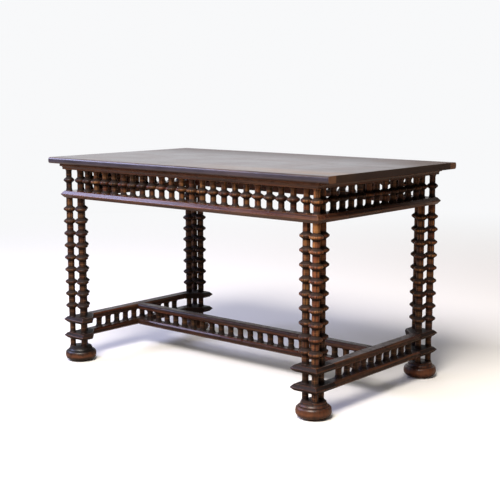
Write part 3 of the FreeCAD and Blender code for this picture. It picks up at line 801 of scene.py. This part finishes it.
def carve(low: Sequence[float], high: Sequence[float], cuts: Sequence[Plane]) -> Shape:
    """Cut a block down by planes.

    Args:
        low: the block's lowest corner, in millimetres.
        high: the block's highest corner.
        cuts: a point on each plane, in metres, and the direction in which wood goes away.

    Returns:
        The shape that is left.
    """
    shape = bmesh.new()
    bmesh.ops.create_cube(shape, size=1.0)
    first, last = Vector(low) * MM, Vector(high) * MM
    place = Matrix.Translation((first + last) / 2) @ Matrix.Diagonal((*(last - first), 1.0))
    bmesh.ops.transform(shape, verts=shape.verts, matrix=place)
    for point, away in cuts:
        cut = bmesh.ops.bisect_plane(
            shape, geom=shape.verts[:] + shape.edges[:] + shape.faces[:], dist=CUT_TOLERANCE, plane_co=point,
            plane_no=away, clear_outer=True)
        rim = [part for part in cut["geom_cut"] if isinstance(part, bmesh.types.BMEdge)]
        bmesh.ops.edgeloop_fill(shape, edges=rim)
    return shape


def soften(
        shape: Shape, width: float, flats: float, edges: float = 1.0, slopes: float | None = None) -> None:
    """Round every edge of a carved shape a little and lay its wear.

    Args:
        shape: the shape to work on.
        width: width of the rounding, in millimetres.
        flats: wear of the flat faces.
        edges: wear of the rounded edges.
        slopes: wear of the slanted faces, where they differ from the flat ones.
    """
    wear = shape.faces.layers.float.new("wear")
    bmesh.ops.recalc_face_normals(shape, faces=shape.faces)
    worn = bmesh.ops.bevel(
        shape, geom=shape.edges[:], offset=width * MM, offset_type="OFFSET", segments=2, profile=0.6,
        affect="EDGES", clamp_overlap=True)
    rounded = set(worn["faces"])
    plain = [face for face in shape.faces if face not in rounded]
    bmesh.ops.inset_individual(shape, faces=plain, thickness=RIM * MM, use_even_offset=True)
    shape.normal_update()
    for face in shape.faces:
        slanted = slopes is not None and SLANTED[0] < abs(face.normal.z) < SLANTED[1]
        face[wear] = edges if face in rounded else slopes if slanted else flats


@dataclass
class Joinery:
    """Makes flat pieces from blocks and sections."""

    finishes: Finishes
    figure_shift: float = 9.0
    middle_tint: float = 0.5
    count: int = 0

    def piece(self, label: str, shape: Shape, grain: Grain, slot: str, node: str, place: Matrix,
              end_tone: float = 1.0, spread: float = 0.2) -> None:
        """Finish a shape and put it in place.

        Args:
            label: the piece's name.
            shape: the shape, which is used up.
            grain: which way the wood runs, once the piece is in place.
            slot: the record's material slot, which is also the finish.
            node: the frame's node that the piece stands for.
            place: moves the shape into place.
            end_tone: 1 for dark end grain and -1 for pale.
            spread: how far the tint may be from the middle one.
        """
        self.count += 1
        hand = random.Random(self.count)
        bmesh.ops.transform(shape, verts=shape.verts, matrix=place)
        mesh = bpy.data.meshes.new(label)
        shape.to_mesh(mesh)
        shape.free()
        close_up(mesh)
        mesh.materials.append(self.finishes[slot])
        facing = np.abs(read_rows(mesh.polygons, "normal", 3)[:, grain.value[0]])
        place_floats(mesh, "end_grain", "FACE", end_tone * (facing > END_GRAIN_FACING))
        tint = hand.uniform(self.middle_tint - spread, self.middle_tint + spread)
        place_floats(mesh, "tint", "POINT", np.full(len(mesh.vertices), tint))
        shift = [hand.uniform(-self.figure_shift, self.figure_shift) for _ in range(3)]
        lay_grain(mesh, grain, np.array(shift))
        hand_over(label, mesh, [node])


def rimmed(points: Sequence[Point3]) -> list[Point3]:
    """Put a point close to each end of a section's wide flats, so that their shading stays flat.

    Args:
        points: outward distance, height and wear round the section.

    Returns:
        The section with the added points.
    """
    dense = []
    for here, there in zip(points, [*points[1:], points[0]]):
        dense.append(here)
        length = math.dist(here[:2], there[:2])
        shares = (RIM / length, 1 - RIM / length) if length > WIDE_FLAT else ()
        dense += [tuple(a + (b - a) * share for a, b in zip(here, there)) for share in shares]
    return dense


def run_section(points: Sequence[Point3], reach: Callable[[float], float]) -> Shape:
    """Run a moulding's section along X.

    Args:
        points: outward distance, height and wear round the section, in millimetres.
        reach: half length of the run at an outward distance, in millimetres.

    Returns:
        The closed run.
    """
    shape = bmesh.new()
    wear = shape.verts.layers.float.new("wear")
    points = rimmed(points)
    rings = []
    for sign in (-1, 1):
        ring = []
        for out, height, worn in points:
            vertex = shape.verts.new((sign * reach(out) * MM, out * MM, height * MM))
            vertex[wear] = worn
            ring.append(vertex)
        rings.append(ring)
        shape.faces.new(ring)
    count = len(points)
    for index in range(count):
        following = (index + 1) % count
        shape.faces.new((rings[0][index], rings[0][following], rings[1][following], rings[1][index]))
    return shape


def arc(centre: Point2, radius: float, start: float, end: float, steps: int) -> list[Point2]:
    """Points of an arc between two angles in degrees."""
    angles = [math.radians(start + (end - start) * step / steps) for step in range(steps + 1)]
    return [(centre[0] + radius * math.cos(angle), centre[1] + radius * math.sin(angle)) for angle in angles]


@dataclass(frozen=True)
class TableSizes:
    """Sizes that more than one sub-assembly needs, in millimetres."""

    span_length: float = 1066.0
    span_width: float = 610.0
    spindle_pitch: float = 47.5
    cluster_angles: Point3 = (45.0, 165.0, 285.0)
    foot_top: float = 52.0
    lower_plate: float = 82.0
    plate_height: float = 21.0
    upper_plate: float = 141.0
    leg_foot: float = 162.0
    lower_rail: float = 597.0
    frieze_foot: float = 621.0
    frieze_head: float = 698.0
    top_underside: float = 718.0
    top_surface: float = 740.0
    point_reach: float = 41.0
    point_bevel: float = 9.0
    point_land: float = 2.5
    rail_inner: float = 14.0

    @property
    def cluster_radius(self) -> float:
        """From a leg's middle to each of its spindle axes."""
        return self.spindle_pitch / math.sqrt(3)

    def place(self, station: Station, level: float = 0.0) -> Matrix:
        """Moves a shape drawn at the origin, as for the back side or the back right leg, to another one.

        Args:
            station: the side or the leg.
            level: how high the shape goes.

        Returns:
            The move, in metres.
        """
        sign_x, sign_y, turn = station.value
        move = Vector((sign_x * self.span_length / 2, sign_y * self.span_width / 2, level)) * MM
        return Matrix.Translation(move) @ Matrix.Rotation(math.radians(turn), 4, "Z")

    def cluster(self, corner: Corner) -> list[Point2]:
        """The three spindle axes of one leg.

        Args:
            corner: the leg.

        Returns:
            An axis for each spindle, in metres.
        """
        x, y = self.place(corner).translation[:2]
        radius = self.cluster_radius * MM
        bearings = [math.radians(corner.value[2] + angle) for angle in self.cluster_angles]
        return [(x + radius * math.cos(bearing), y + radius * math.sin(bearing)) for bearing in bearings]

    def all_clusters(self) -> list[Point2]:
        """The spindle axes of every leg, in metres."""
        return [axis for corner in Corner for axis in self.cluster(corner)]

    def row(self, place: Matrix, run: float, count: int, offset: float) -> list[Point2]:
        """The axes of a row of spindles at one pitch, in metres.

        Args:
            place: moves the row, drawn along X, into place.
            run: the length that the spindles share out.
            count: spindles in the row.
            offset: how far outward the row stands.

        Returns:
            An axis for each spindle.
        """
        pitch = run / (count + 1)
        steps = [pitch * (index - (count - 1) / 2) for index in range(count)]
        axes = [place @ (Vector((step, offset, 0)) * MM) for step in steps]
        return [(axis.x, axis.y) for axis in axes]

    def span(self, side: Side) -> float:
        """Distance between the two legs of a side."""
        return self.span_length if side.lengthwise else self.span_width

    def point_cuts(self, axis: Vector, height: float, beyond: float = 0.0) -> list[Plane]:
        """The two planes that bring an outer edge to a point.

        Args:
            axis: outward direction of the edge.
            height: height of the board.
            beyond: how much further out than usual the edge is.

        Returns:
            A point, in metres, and a direction for each plane.
        """
        rise = (height - self.point_land) / 2
        cuts = []
        for sign, level in ((-1, 0.0), (1, height)):
            away = axis * rise + Vector((0, 0, sign * self.point_bevel))
            point = axis * (self.point_reach - self.point_bevel + beyond) + Vector((0, 0, level))
            cuts.append((point * MM, away.normalized()))
        return cuts


SIZES = TableSizes()


@dataclass
class TableTop:
    """Four boards edge to edge, the outer two with a rounded nosing."""

    joinery: Joinery
    length: float = 1240.0
    width: float = 722.0
    strip: float = 38.0
    nosing: float = 8.0
    nosing_steps: int = 7
    nosing_wear: float = 0.2
    eased: float = 0.35
    eased_steps: int = 2
    eased_wear: float = -0.2
    joint: float = 0.1
    tint_spread: float = 0.02

    def section(self, low: float, high: float, round_low: bool, round_high: bool) -> list[Point3]:
        """A board's section.

        Args:
            low: its lower edge across the top.
            high: its higher edge across the top.
            round_low: whether the lower edge is a nosing.
            round_high: whether the higher edge is a nosing.

        Returns:
            Distance across, height and wear of each point.
        """
        thick = SIZES.top_surface - SIZES.top_underside
        points = []
        for edge, sign, rounded, start in ((high, 1, round_high, -90.0), (low, -1, round_low, 90.0)):
            radius = self.nosing if rounded else self.eased
            steps = self.nosing_steps if rounded else self.eased_steps
            wear = self.nosing_wear if rounded else self.eased_wear
            for turn, height in enumerate((radius, thick - radius)[::sign]):
                angle = start + 90.0 * turn
                quarter = arc((edge - sign * radius, height), radius, angle, angle + 90.0, steps)
                points += [(out, level, wear) for out, level in quarter]
        return points

    def build(self) -> None:
        """Make the four boards."""
        half, board, gap = self.width / 2, self.width / 2 - self.strip, self.joint / 2
        plan = (
            ("top_front_strip", -half, -board - gap, True, False),
            ("top_front_board", -board + gap, -gap, False, False),
            ("top_back_board", gap, board - gap, False, False),
            ("top_back_strip", board + gap, half, False, True),
        )
        lift = Matrix.Translation((0, 0, SIZES.top_underside * MM))
        for label, low, high, round_low, round_high in plan:
            shape = run_section(self.section(low, high, round_low, round_high), lambda out: self.length / 2)
            end_tone = -1.0 if round_low or round_high else 1.0
            self.joinery.piece(f"waxed_{label}", shape, Grain.ALONG_X, "top_wood", label, lift, end_tone,
                               self.tint_spread)


@dataclass
class Frieze:
    """The open frieze under the top: mouldings, pointed rails and rows of ring-turned spindles."""

    joinery: Joinery
    lathe: Lathe
    moulding_inner: float = 27.5
    moulding_lip: float = 7.5
    moulding_reach: float = 42.0
    moulding_step: float = 5.0
    moulding_ease: float = 0.6
    fillet_height: float = 9.0
    fillet_ease: float = 0.8
    cove_angles: tuple[float, ...] = (0.35, 0.7, 1.05, 1.4)
    cove_stop: float = 2.0
    rail_round: float = 0.9
    rail_wear: float = 0.35
    row_offset: float = 12.0
    spindles: SpindleSizes = SpindleSizes(
        length=77.0, shaft=9.5, flare=14.5, flare_height=10.0, stub=4.4, ring_tip=20.0, ring_half=10.0,
        ring_nose=3.8, ring_heights=(38.5,))
    corner_spindles: SpindleSizes = SpindleSizes(
        length=77.0, shaft=10.0, flare=12.5, flare_height=10.0, stub=6.9, ring_tip=19.0, ring_half=10.0,
        ring_nose=3.8, ring_heights=(38.5,))
    long_count: int = 21
    short_count: int = 11
    row_facets: int = 20
    corner_facets: int = 24
    first_seed: int = 40
    corner_seed: int = 50
    # Tints that run dark, as painted shade under the top's overhang, and lighter ones for the near leg's
    # spindles, as painted light.
    tints: Point2 = (-1.05, 0.3)
    near_tints: Point3 = (1.4, 0.3, 0.3)

    def bed_moulding(self, side: Side) -> None:
        """A bed moulding, which is a fillet over a cove, mitred at both ends.

        Args:
            side: the side it lies on.
        """
        inner, reach, ease = self.moulding_inner, self.moulding_reach, self.moulding_ease
        height = SIZES.top_underside - SIZES.frieze_head
        fillet = height - self.fillet_height
        step_in, lip = reach - self.moulding_step, inner + self.moulding_lip
        points = [(inner, 0.0, -0.5), (lip - ease, 0.0, 0.3), (lip, ease, 0.8)]
        rise, run = fillet - self.cove_stop, step_in - lip
        points += [(lip + run * (1 - math.cos(angle)), ease + rise * math.sin(angle), 0.2)
                   for angle in self.cove_angles]
        points += [(step_in, fillet - ease, -0.8), (step_in + ease / 2, fillet, -0.6)]
        points += [(reach - self.fillet_ease, fillet, 0.6), (reach, fillet + self.fillet_ease, 0.9)]
        points += [(reach, height - ease, 0.8), (reach - ease, height, -0.6), (inner, height, -0.8)]
        shape = run_section(points, lambda out: SIZES.span(side) / 2 + out)
        self.joinery.piece(f"moulded_bed_{side.label}", shape, side.grain, "rail_wood",
                           f"bed_moulding_{side.label}", SIZES.place(side, SIZES.frieze_head))

    def lower_rail(self, side: Side) -> None:
        """The pointed rail under the spindles.

        Args:
            side: the side it lies on.
        """
        height, half = SIZES.frieze_foot - SIZES.lower_rail, SIZES.span(side) / 2
        cuts = SIZES.point_cuts(Vector((0, 1, 0)), height)
        end = half - SIZES.rail_inner
        if side.lengthwise:
            end = half + SIZES.point_reach
            for sign in (1, -1):
                cuts += SIZES.point_cuts(Vector((sign, 0, 0)), height, half)
        shape = carve((-end, -SIZES.rail_inner, 0), (end, SIZES.point_reach, height), cuts)
        soften(shape, self.rail_round, self.rail_wear)
        self.joinery.piece(f"pointed_rail_{side.label}", shape, side.grain, "rail_wood",
                           f"lower_frieze_rail_{side.label}", SIZES.place(side, SIZES.lower_rail))

    def row(self, side: Side, seed: int) -> None:
        """The spindles of one side.

        Args:
            side: the side they stand on.
            seed: fixes the tints and turns.
        """
        count = self.long_count if side.lengthwise else self.short_count
        run = SIZES.span(side) - 2 * SIZES.cluster_radius * math.cos(math.radians(15))
        self.lathe.turn(Batch(
            label=f"ringed_frieze_{side.label}", nodes=[f"frieze_spindles_{side.label}"],
            outline=self.spindles.outline(seed), base=SIZES.frieze_foot, facets=self.row_facets, seed=seed,
            axes=SIZES.row(SIZES.place(side), run, count, self.row_offset),
            tints=uneven(count, *self.tints, seed)))

    def corners(self) -> None:
        """The thicker spindles over the legs, the near leg's outer one lighter with painted light."""
        axes, seed = SIZES.all_clusters(), self.corner_seed
        tints = uneven(len(axes), *self.tints, seed)
        near = len(self.near_tints) * list(Corner).index(Corner.FRONT_RIGHT)
        tints[near:near + len(self.near_tints)] = self.near_tints
        self.lathe.turn(Batch(
            label="ringed_frieze_corners", nodes=["corner_frieze_spindles"],
            outline=self.corner_spindles.outline(seed), base=SIZES.frieze_foot, facets=self.corner_facets,
            seed=seed, axes=axes, tints=tints))

    def build(self) -> None:
        """Make all four sides and the corner spindles."""
        for seed, side in enumerate(Side, self.first_seed):
            self.bed_moulding(side)
            self.lower_rail(side)
            self.row(side, seed)
        self.corners()


@dataclass
class Legs:
    """Four legs of three ring-turned spindles, with their plates, short spindles and feet."""

    joinery: Joinery
    lathe: Lathe
    collars: int = 9
    end_gap: float = 41.0
    arm_reach: float = 60.0
    arm_inner: float = 5.0
    plate_round: float = 0.9
    plate_wear: float = -0.95
    plate_edge_wear: float = 0.25
    plate_spindles: SpindleSizes = SpindleSizes(
        length=38.0, shaft=10.0, flare=12.5, flare_height=10.0, stub=6.9)
    foot_spindles: SpindleSizes = SpindleSizes(
        length=30.0, shaft=10.0, flare=11.5, flare_height=6.0, stub=6.9)
    leg_facets: int = 28
    short_facets: int = 24
    foot_facets: int = 64
    first_seed: int = 10
    foot_seeds: int = 30
    plate_spindle_seed: int = 61
    foot_spindle_seed: int = 62
    short_tints: Point2 = (-0.5, 0.5)
    # The front right leg's outer spindle is lighter, as painted light, and the front left leg darker, as
    # painted shade; the other tints are tone that differs from leg to leg.
    tints: dict[Corner, Point3] = field(default_factory=lambda: {
        Corner.FRONT_RIGHT: (1.4, 0.3, 0.3), Corner.FRONT_LEFT: (-0.4, -0.85, -0.7),
        Corner.BACK_RIGHT: (0.55, 0.0, 0.1), Corner.BACK_LEFT: (-0.2, -0.6, -0.6)})
    foot_tints: dict[Corner, float] = field(default_factory=lambda: {
        Corner.FRONT_RIGHT: 0.3, Corner.FRONT_LEFT: -1.4, Corner.BACK_RIGHT: 0.9, Corner.BACK_LEFT: 0.0})

    def spindles(self, corner: Corner, seed: int) -> None:
        """The three long spindles of one leg.

        Args:
            corner: the leg.
            seed: fixes the unevenness of their turning and how far round each is turned.
        """
        length = SIZES.lower_rail - SIZES.leg_foot
        pitch = (length - 2 * self.end_gap) / (self.collars - 1)
        sizes = SpindleSizes(
            length=length, shaft=11.75, flare=12.5, flare_height=10.0, stub=6.9, ring_tip=22.0,
            ring_half=10.0, jitter=0.35,
            ring_heights=tuple(self.end_gap + pitch * index for index in range(self.collars)))
        nodes = [f"leg_spindle_{corner.label}_{place}" for place in ("outer", "inner_left", "inner_right")]
        self.lathe.turn(Batch(
            label=f"ringed_leg_{corner.label}", nodes=nodes, outline=sizes.outline(seed), base=SIZES.leg_foot,
            facets=self.leg_facets, seed=seed, axes=SIZES.cluster(corner), tints=self.tints[corner]))

    def plate(self, corner: Corner, level: str, height: float) -> None:
        """A plate, pointed on its outer edges and free arm, with its inner corner cut off.

        Args:
            corner: the leg it belongs to.
            level: lower or upper, as the frame's nodes spell it.
            height: height of its underside.
        """
        reach, arm, thick = SIZES.point_reach, self.arm_reach, SIZES.plate_height
        free = Vector((-1, 0, 0)) if corner.lengthwise else Vector((0, -1, 0))
        cuts = SIZES.point_cuts(Vector((1, 0, 0)), thick) + SIZES.point_cuts(Vector((0, 1, 0)), thick)
        cuts.append((Vector((-arm, -self.arm_inner, 0)) * MM, Vector((-1, -1, 0)).normalized()))
        cuts += SIZES.point_cuts(free, thick, arm - reach)
        shape = carve((-arm, -arm, 0), (reach, reach, thick), cuts)
        soften(shape, self.plate_round, self.plate_wear, self.plate_edge_wear)
        self.joinery.piece(f"pointed_plate_{level}_{corner.label}", shape, corner.grain, "rail_wood",
                           f"stretcher_plate_{level}_{corner.label}", SIZES.place(corner, height))

    def foot(self, corner: Corner, seed: int) -> None:
        """A bun foot with a grooved shoulder.

        Args:
            corner: the leg it carries.
            seed: fixes its turn.
        """
        # The dark wear in the groove and where the foot meets the floor is dirt and painted shade.
        bun = Turning().to(0.0, 31.0, -0.8).to(0.7, 33.0, -0.4).to(2.5, 36.0, -0.1)
        bun.swell(21.0, 55.5, 0.9, 10).swell(35.0, 52.0, 0.5, 7).to(36.8, 50.4, 0.3).to(37.6, 49.0, 0.1)
        bun.to(37.9, 46.0, -1.0).to(38.1, 45.4, -1.0).to(38.9, 45.9, -0.6).to(39.8, 45.9, 0.1)
        bun.cove(48.2, 39.9, -0.7, 7).to(49.6, 39.6, -0.3).to(51.2, 39.2, 0.3).to(52.0, 38.0, -0.5)
        x, y = SIZES.place(corner).translation[:2]
        self.lathe.turn(Batch(
            label=f"turned_foot_{corner.label}", nodes=[f"foot_{corner.label}"], outline=bun, base=0.0,
            facets=self.foot_facets, seed=seed, axes=[(x, y)], tints=[self.foot_tints[corner]],
            slot="foot_wood"))

    def short_spindles(self, label: str, sizes: SpindleSizes, base: float, seed: int) -> None:
        """The spindles of every leg between its plates or over its foot.

        Args:
            label: what the spindles belong to, as the frame's nodes spell it.
            sizes: sizes of each spindle.
            base: height of their lower ends.
            seed: fixes the tints and turns.
        """
        axes = SIZES.all_clusters()
        self.lathe.turn(Batch(
            label=f"turned_{label}_spindles", nodes=[f"{label}_spindles"], outline=sizes.outline(seed),
            base=base, facets=self.short_facets, seed=seed, axes=axes,
            tints=uneven(len(axes), *self.short_tints, seed)))

    def build(self) -> None:
        """Make every leg."""
        for index, corner in enumerate(Corner):
            self.spindles(corner, self.first_seed + index)
            self.plate(corner, "lower", SIZES.lower_plate)
            self.plate(corner, "upper", SIZES.upper_plate)
            self.foot(corner, self.foot_seeds + index)
        between_plates = SIZES.lower_plate + SIZES.plate_height
        self.short_spindles("plate", self.plate_spindles, between_plates, self.plate_spindle_seed)
        self.short_spindles("foot", self.foot_spindles, SIZES.foot_top, self.foot_spindle_seed)


@dataclass
class Stretchers:
    """Doubled rails low down, filled with short spindles: one pair at each end and one along the middle."""

    joinery: Joinery
    lathe: Lathe
    side_length: float = 490.0
    side_inner: float = -5.0
    side_outer: float = 37.0
    bevel: float = 5.0
    centre_length: float = 1056.0
    centre_half: float = 20.0
    centre_round: float = 9.0
    round_steps: int = 8
    rail_round: float = 0.8
    flat_wear: float = -0.55
    edge_wear: float = 0.5
    bevel_wear: float = 0.0
    underside_wear: float = -0.2
    arris_wear: float = 0.2
    side_count: int = 10
    centre_count: int = 22
    spindles: SpindleSizes = SpindleSizes(length=38.0, shaft=10.0, flare=14.0, flare_height=10.0, stub=4.4)
    facets: int = 20
    side_seed: int = 71
    centre_seed: int = 73
    tints: Point2 = (-1.1, -0.1)

    def bevelled_rail(self, length: float, low: float, high: float) -> Shape:
        """A rail along X with its four long corners bevelled.

        Args:
            length: length between its shoulders.
            low: its lower edge across.
            high: its higher edge across.

        Returns:
            The softened shape, standing on zero.
        """
        thick = SIZES.plate_height
        cuts = []
        for level, rise in ((0.0, -1), (thick, 1)):
            for edge, sign in ((low, -1), (high, 1)):
                point = Vector((0, edge - sign * self.bevel, level)) * MM
                cuts.append((point, Vector((0, sign, rise)).normalized()))
        shape = carve((-length / 2, low, 0), (length / 2, high, thick), cuts)
        soften(shape, self.rail_round, self.flat_wear, self.edge_wear, self.bevel_wear)
        return shape

    def side_rails(self, side: Side) -> None:
        """The lower and upper rail of one end.

        Args:
            side: the end.
        """
        for level, height in (("lower", SIZES.lower_plate), ("upper", SIZES.upper_plate)):
            shape = self.bevelled_rail(self.side_length, self.side_inner, self.side_outer)
            self.joinery.piece(f"bevelled_rail_{level}_{side.label}", shape, side.grain, "rail_wood",
                               f"side_stretcher_rail_{level}_{side.label}", SIZES.place(side, height))

    def centre_rails(self) -> None:
        """The lower rail and the round-topped upper rail along the middle."""
        side, bevel, radius = self.centre_half, self.bevel, self.centre_round
        levels = (SIZES.lower_plate, SIZES.upper_plate)
        lower, upper = (Matrix.Translation((0, 0, level * MM)) for level in levels)
        self.joinery.piece("bevelled_rail_lower_centre", self.bevelled_rail(self.centre_length, -side, side),
                           Grain.ALONG_X, "rail_wood", "centre_stretcher_rail_lower", lower)
        points = [(bevel - side, 0.0, self.underside_wear), (side - bevel, 0.0, self.underside_wear)]
        points += [(side, bevel, self.arris_wear)]
        for out, start in ((side - radius, 0.0), (radius - side, 90.0)):
            quarter = arc((out, SIZES.plate_height - radius), radius, start, start + 90.0, self.round_steps)
            points += [(across, level, self.flat_wear) for across, level in quarter]
        points += [(-side, bevel, self.arris_wear)]
        shape = run_section(points, lambda out: self.centre_length / 2)
        self.joinery.piece("rounded_rail_upper_centre", shape, Grain.ALONG_X, "rail_wood",
                           "centre_stretcher_rail_upper", upper)

    def row(self, label: str, axes: list[Point2], seed: int) -> None:
        """A row of stretcher spindles.

        Args:
            label: which stretcher, as the frame's nodes spell it.
            axes: the spindles' axes.
            seed: fixes the tints and turns.
        """
        self.lathe.turn(Batch(
            label=f"turned_{label}", nodes=[label], outline=self.spindles.outline(seed),
            base=SIZES.lower_plate + SIZES.plate_height, facets=self.facets, seed=seed, axes=axes,
            tints=uneven(len(axes), *self.tints, seed)))

    def build(self) -> None:
        """Make both ends and the middle."""
        middle = (self.side_inner + self.side_outer) / 2
        for seed, side in enumerate((Side.LEFT, Side.RIGHT), self.side_seed):
            self.side_rails(side)
            axes = SIZES.row(SIZES.place(side), self.side_length, self.side_count, middle)
            self.row(f"side_stretcher_spindles_{side.label}", axes, seed)
        self.centre_rails()
        axes = SIZES.row(Matrix.Identity(4), self.centre_length, self.centre_count, 0.0)
        self.row("centre_stretcher_spindles", axes, self.centre_seed)


@dataclass
class KeptNodes:
    """Plain hidden pieces that stay as the frame has them and only get a finish."""

    finishes: Finishes

    def dress(self) -> None:
        """Give the upper rails and the bearers their woods."""
        for side in Side:
            self.finish(f"upper_frieze_rail_{side.label}", "rail_wood")
        for side in (Side.LEFT, Side.RIGHT):
            self.finish(f"top_bearer_{side.label}", "bearer_wood")

    def finish(self, node: str, name: str) -> None:
        """Put one finish on one node.

        Args:
            node: the node's name.
            name: the finish's name.
        """
        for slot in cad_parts[node].material_slots:
            slot.material = self.finishes[name]
        LOG.info("%s: kept, in %s", node, name)


@dataclass(frozen=True)
class Lamp:
    """A square soft lamp, with its place and size in metres and its power in watts."""

    label: str
    place: Point3
    size: float
    power: float
    colour: Colour

    def hang(self, target: Point3) -> None:
        """Hang the lamp, aimed and unseen by the camera.

        Args:
            target: the place it shines on.
        """
        data = bpy.data.lights.new(self.label, "AREA")
        data.shape = "SQUARE"
        data.size = self.size
        data.energy = self.power
        data.color = self.colour
        lamp = bpy.data.objects.new(self.label, data)
        bpy.context.scene.collection.objects.link(lamp)
        lamp.visible_camera = False
        lamp.location = self.place
        aim = Vector(target) - Vector(self.place)
        lamp.rotation_euler = aim.to_track_quat("-Z", "Y").to_euler()


@dataclass
class Studio:
    """A pale floor, soft lamps and the camera, in metres and degrees."""

    lens: float = 76.87
    sensor: float = 36.0
    camera_place: Point3 = (2.4087, -2.8085, 1.0027)
    camera_turn: Point2 = (81.094, 40.367)
    lamp_target: Point3 = (0.0, 0.0, 0.4)
    lamps: tuple[Lamp, ...] = (
        Lamp("window", (1.0, -2.8, 3.9), 2.2, 400.0, (1.0, 0.94, 0.88)),
        Lamp("skylight", (-3.0, -1.75, 2.45), 1.9, 135.0, (0.58, 0.62, 1.0)),
        Lamp("wall", (-3.1, 2.5, 1.9), 4.2, 60.0, (0.9, 0.93, 1.0)),
        Lamp("far_wall", (-0.4, 4.4, 1.9), 2.6, 19.0, (1.0, 0.92, 0.84)))
    floor_radius: float = 14.0
    floor_sides: int = 96
    floor_roughness: float = 0.8
    floor_colour: Colour = (0.87, 0.85, 0.81)
    floor_bounce: Colour = (0.46, 0.34, 0.25)
    floor_fade: Point2 = (1.6, 5.0)
    sky: Colour = (0.94, 0.945, 0.955)
    room: Colour = (1.0, 0.94, 0.86)
    room_fill: float = 0.11

    def floor(self) -> None:
        """A wide pale floor that runs out into the white of the background."""
        bpy.ops.mesh.primitive_circle_add(
            vertices=self.floor_sides, radius=self.floor_radius, fill_type="NGON")
        floor = bpy.context.object
        floor.name = "pale_floor"
        material = bpy.data.materials.new("pale_floor")
        material.use_nodes = True
        hand = Nodes(material.node_tree)
        hand.tree.nodes.clear()
        seen = hand.add("ShaderNodeLightPath").outputs["Is Camera Ray"]
        colour = hand.mix(seen, self.floor_bounce, self.floor_colour)
        shader = hand.add(
            "ShaderNodeBsdfPrincipled", {"Base Color": colour, "Roughness": self.floor_roughness})
        place = hand.add("ShaderNodeTexCoord").outputs["Object"]
        away = hand.add("ShaderNodeVectorMath", {0: place}, operation="LENGTH").outputs["Value"]
        far = hand.times(hand.ramp(away, *self.floor_fade), seen)
        white = hand.add("ShaderNodeEmission", {"Color": self.sky, "Strength": 1.0})
        mixed = hand.add("ShaderNodeMixShader", {0: far, 1: shader.outputs[0], 2: white.outputs[0]})
        hand.add("ShaderNodeOutputMaterial", {"Surface": mixed.outputs[0]})
        floor.data.materials.append(material)

    def world(self) -> None:
        """White for the eye and a weaker room light for the rest."""
        world = bpy.data.worlds.new("studio")
        bpy.context.scene.world = world
        world.use_nodes = True
        hand = Nodes(world.node_tree)
        hand.tree.nodes.clear()
        seen = hand.add("ShaderNodeLightPath").outputs["Is Camera Ray"]
        fill = hand.add("ShaderNodeBackground", {"Color": self.room, "Strength": self.room_fill})
        plain = hand.add("ShaderNodeBackground", {"Color": self.sky, "Strength": 1.0})
        mixed = hand.add("ShaderNodeMixShader", {0: seen, 1: fill.outputs[0], 2: plain.outputs[0]})
        hand.add("ShaderNodeOutputWorld", {"Surface": mixed.outputs[0]})

    def camera(self) -> None:
        """The camera, where the photograph was taken from."""
        data = bpy.data.cameras.new("camera")
        data.sensor_width = self.sensor
        data.lens = self.lens
        data.dof.use_dof = False
        camera = bpy.data.objects.new("camera", data)
        bpy.context.scene.collection.objects.link(camera)
        camera.location = self.camera_place
        tilt, turn = self.camera_turn
        camera.rotation_euler = (math.radians(tilt), 0.0, math.radians(turn))
        bpy.context.scene.camera = camera

    def build(self) -> None:
        """Set up the whole studio."""
        self.floor()
        self.world()
        for lamp in self.lamps:
            lamp.hang(self.lamp_target)
        self.camera()
        bpy.context.scene.view_settings.view_transform = "Standard"


def main() -> None:
    """Build the table and its studio in order."""
    logging.basicConfig(level=logging.INFO, format="%(name)s %(message)s")
    finishes = Finishes()
    joinery, lathe = Joinery(finishes), Lathe(finishes)
    Studio().build()
    TableTop(joinery).build()
    Frieze(joinery, lathe).build()
    Legs(joinery, lathe).build()
    Stretchers(joinery, lathe).build()
    KeptNodes(finishes).dress()


if __name__ == "__main__":
    main()
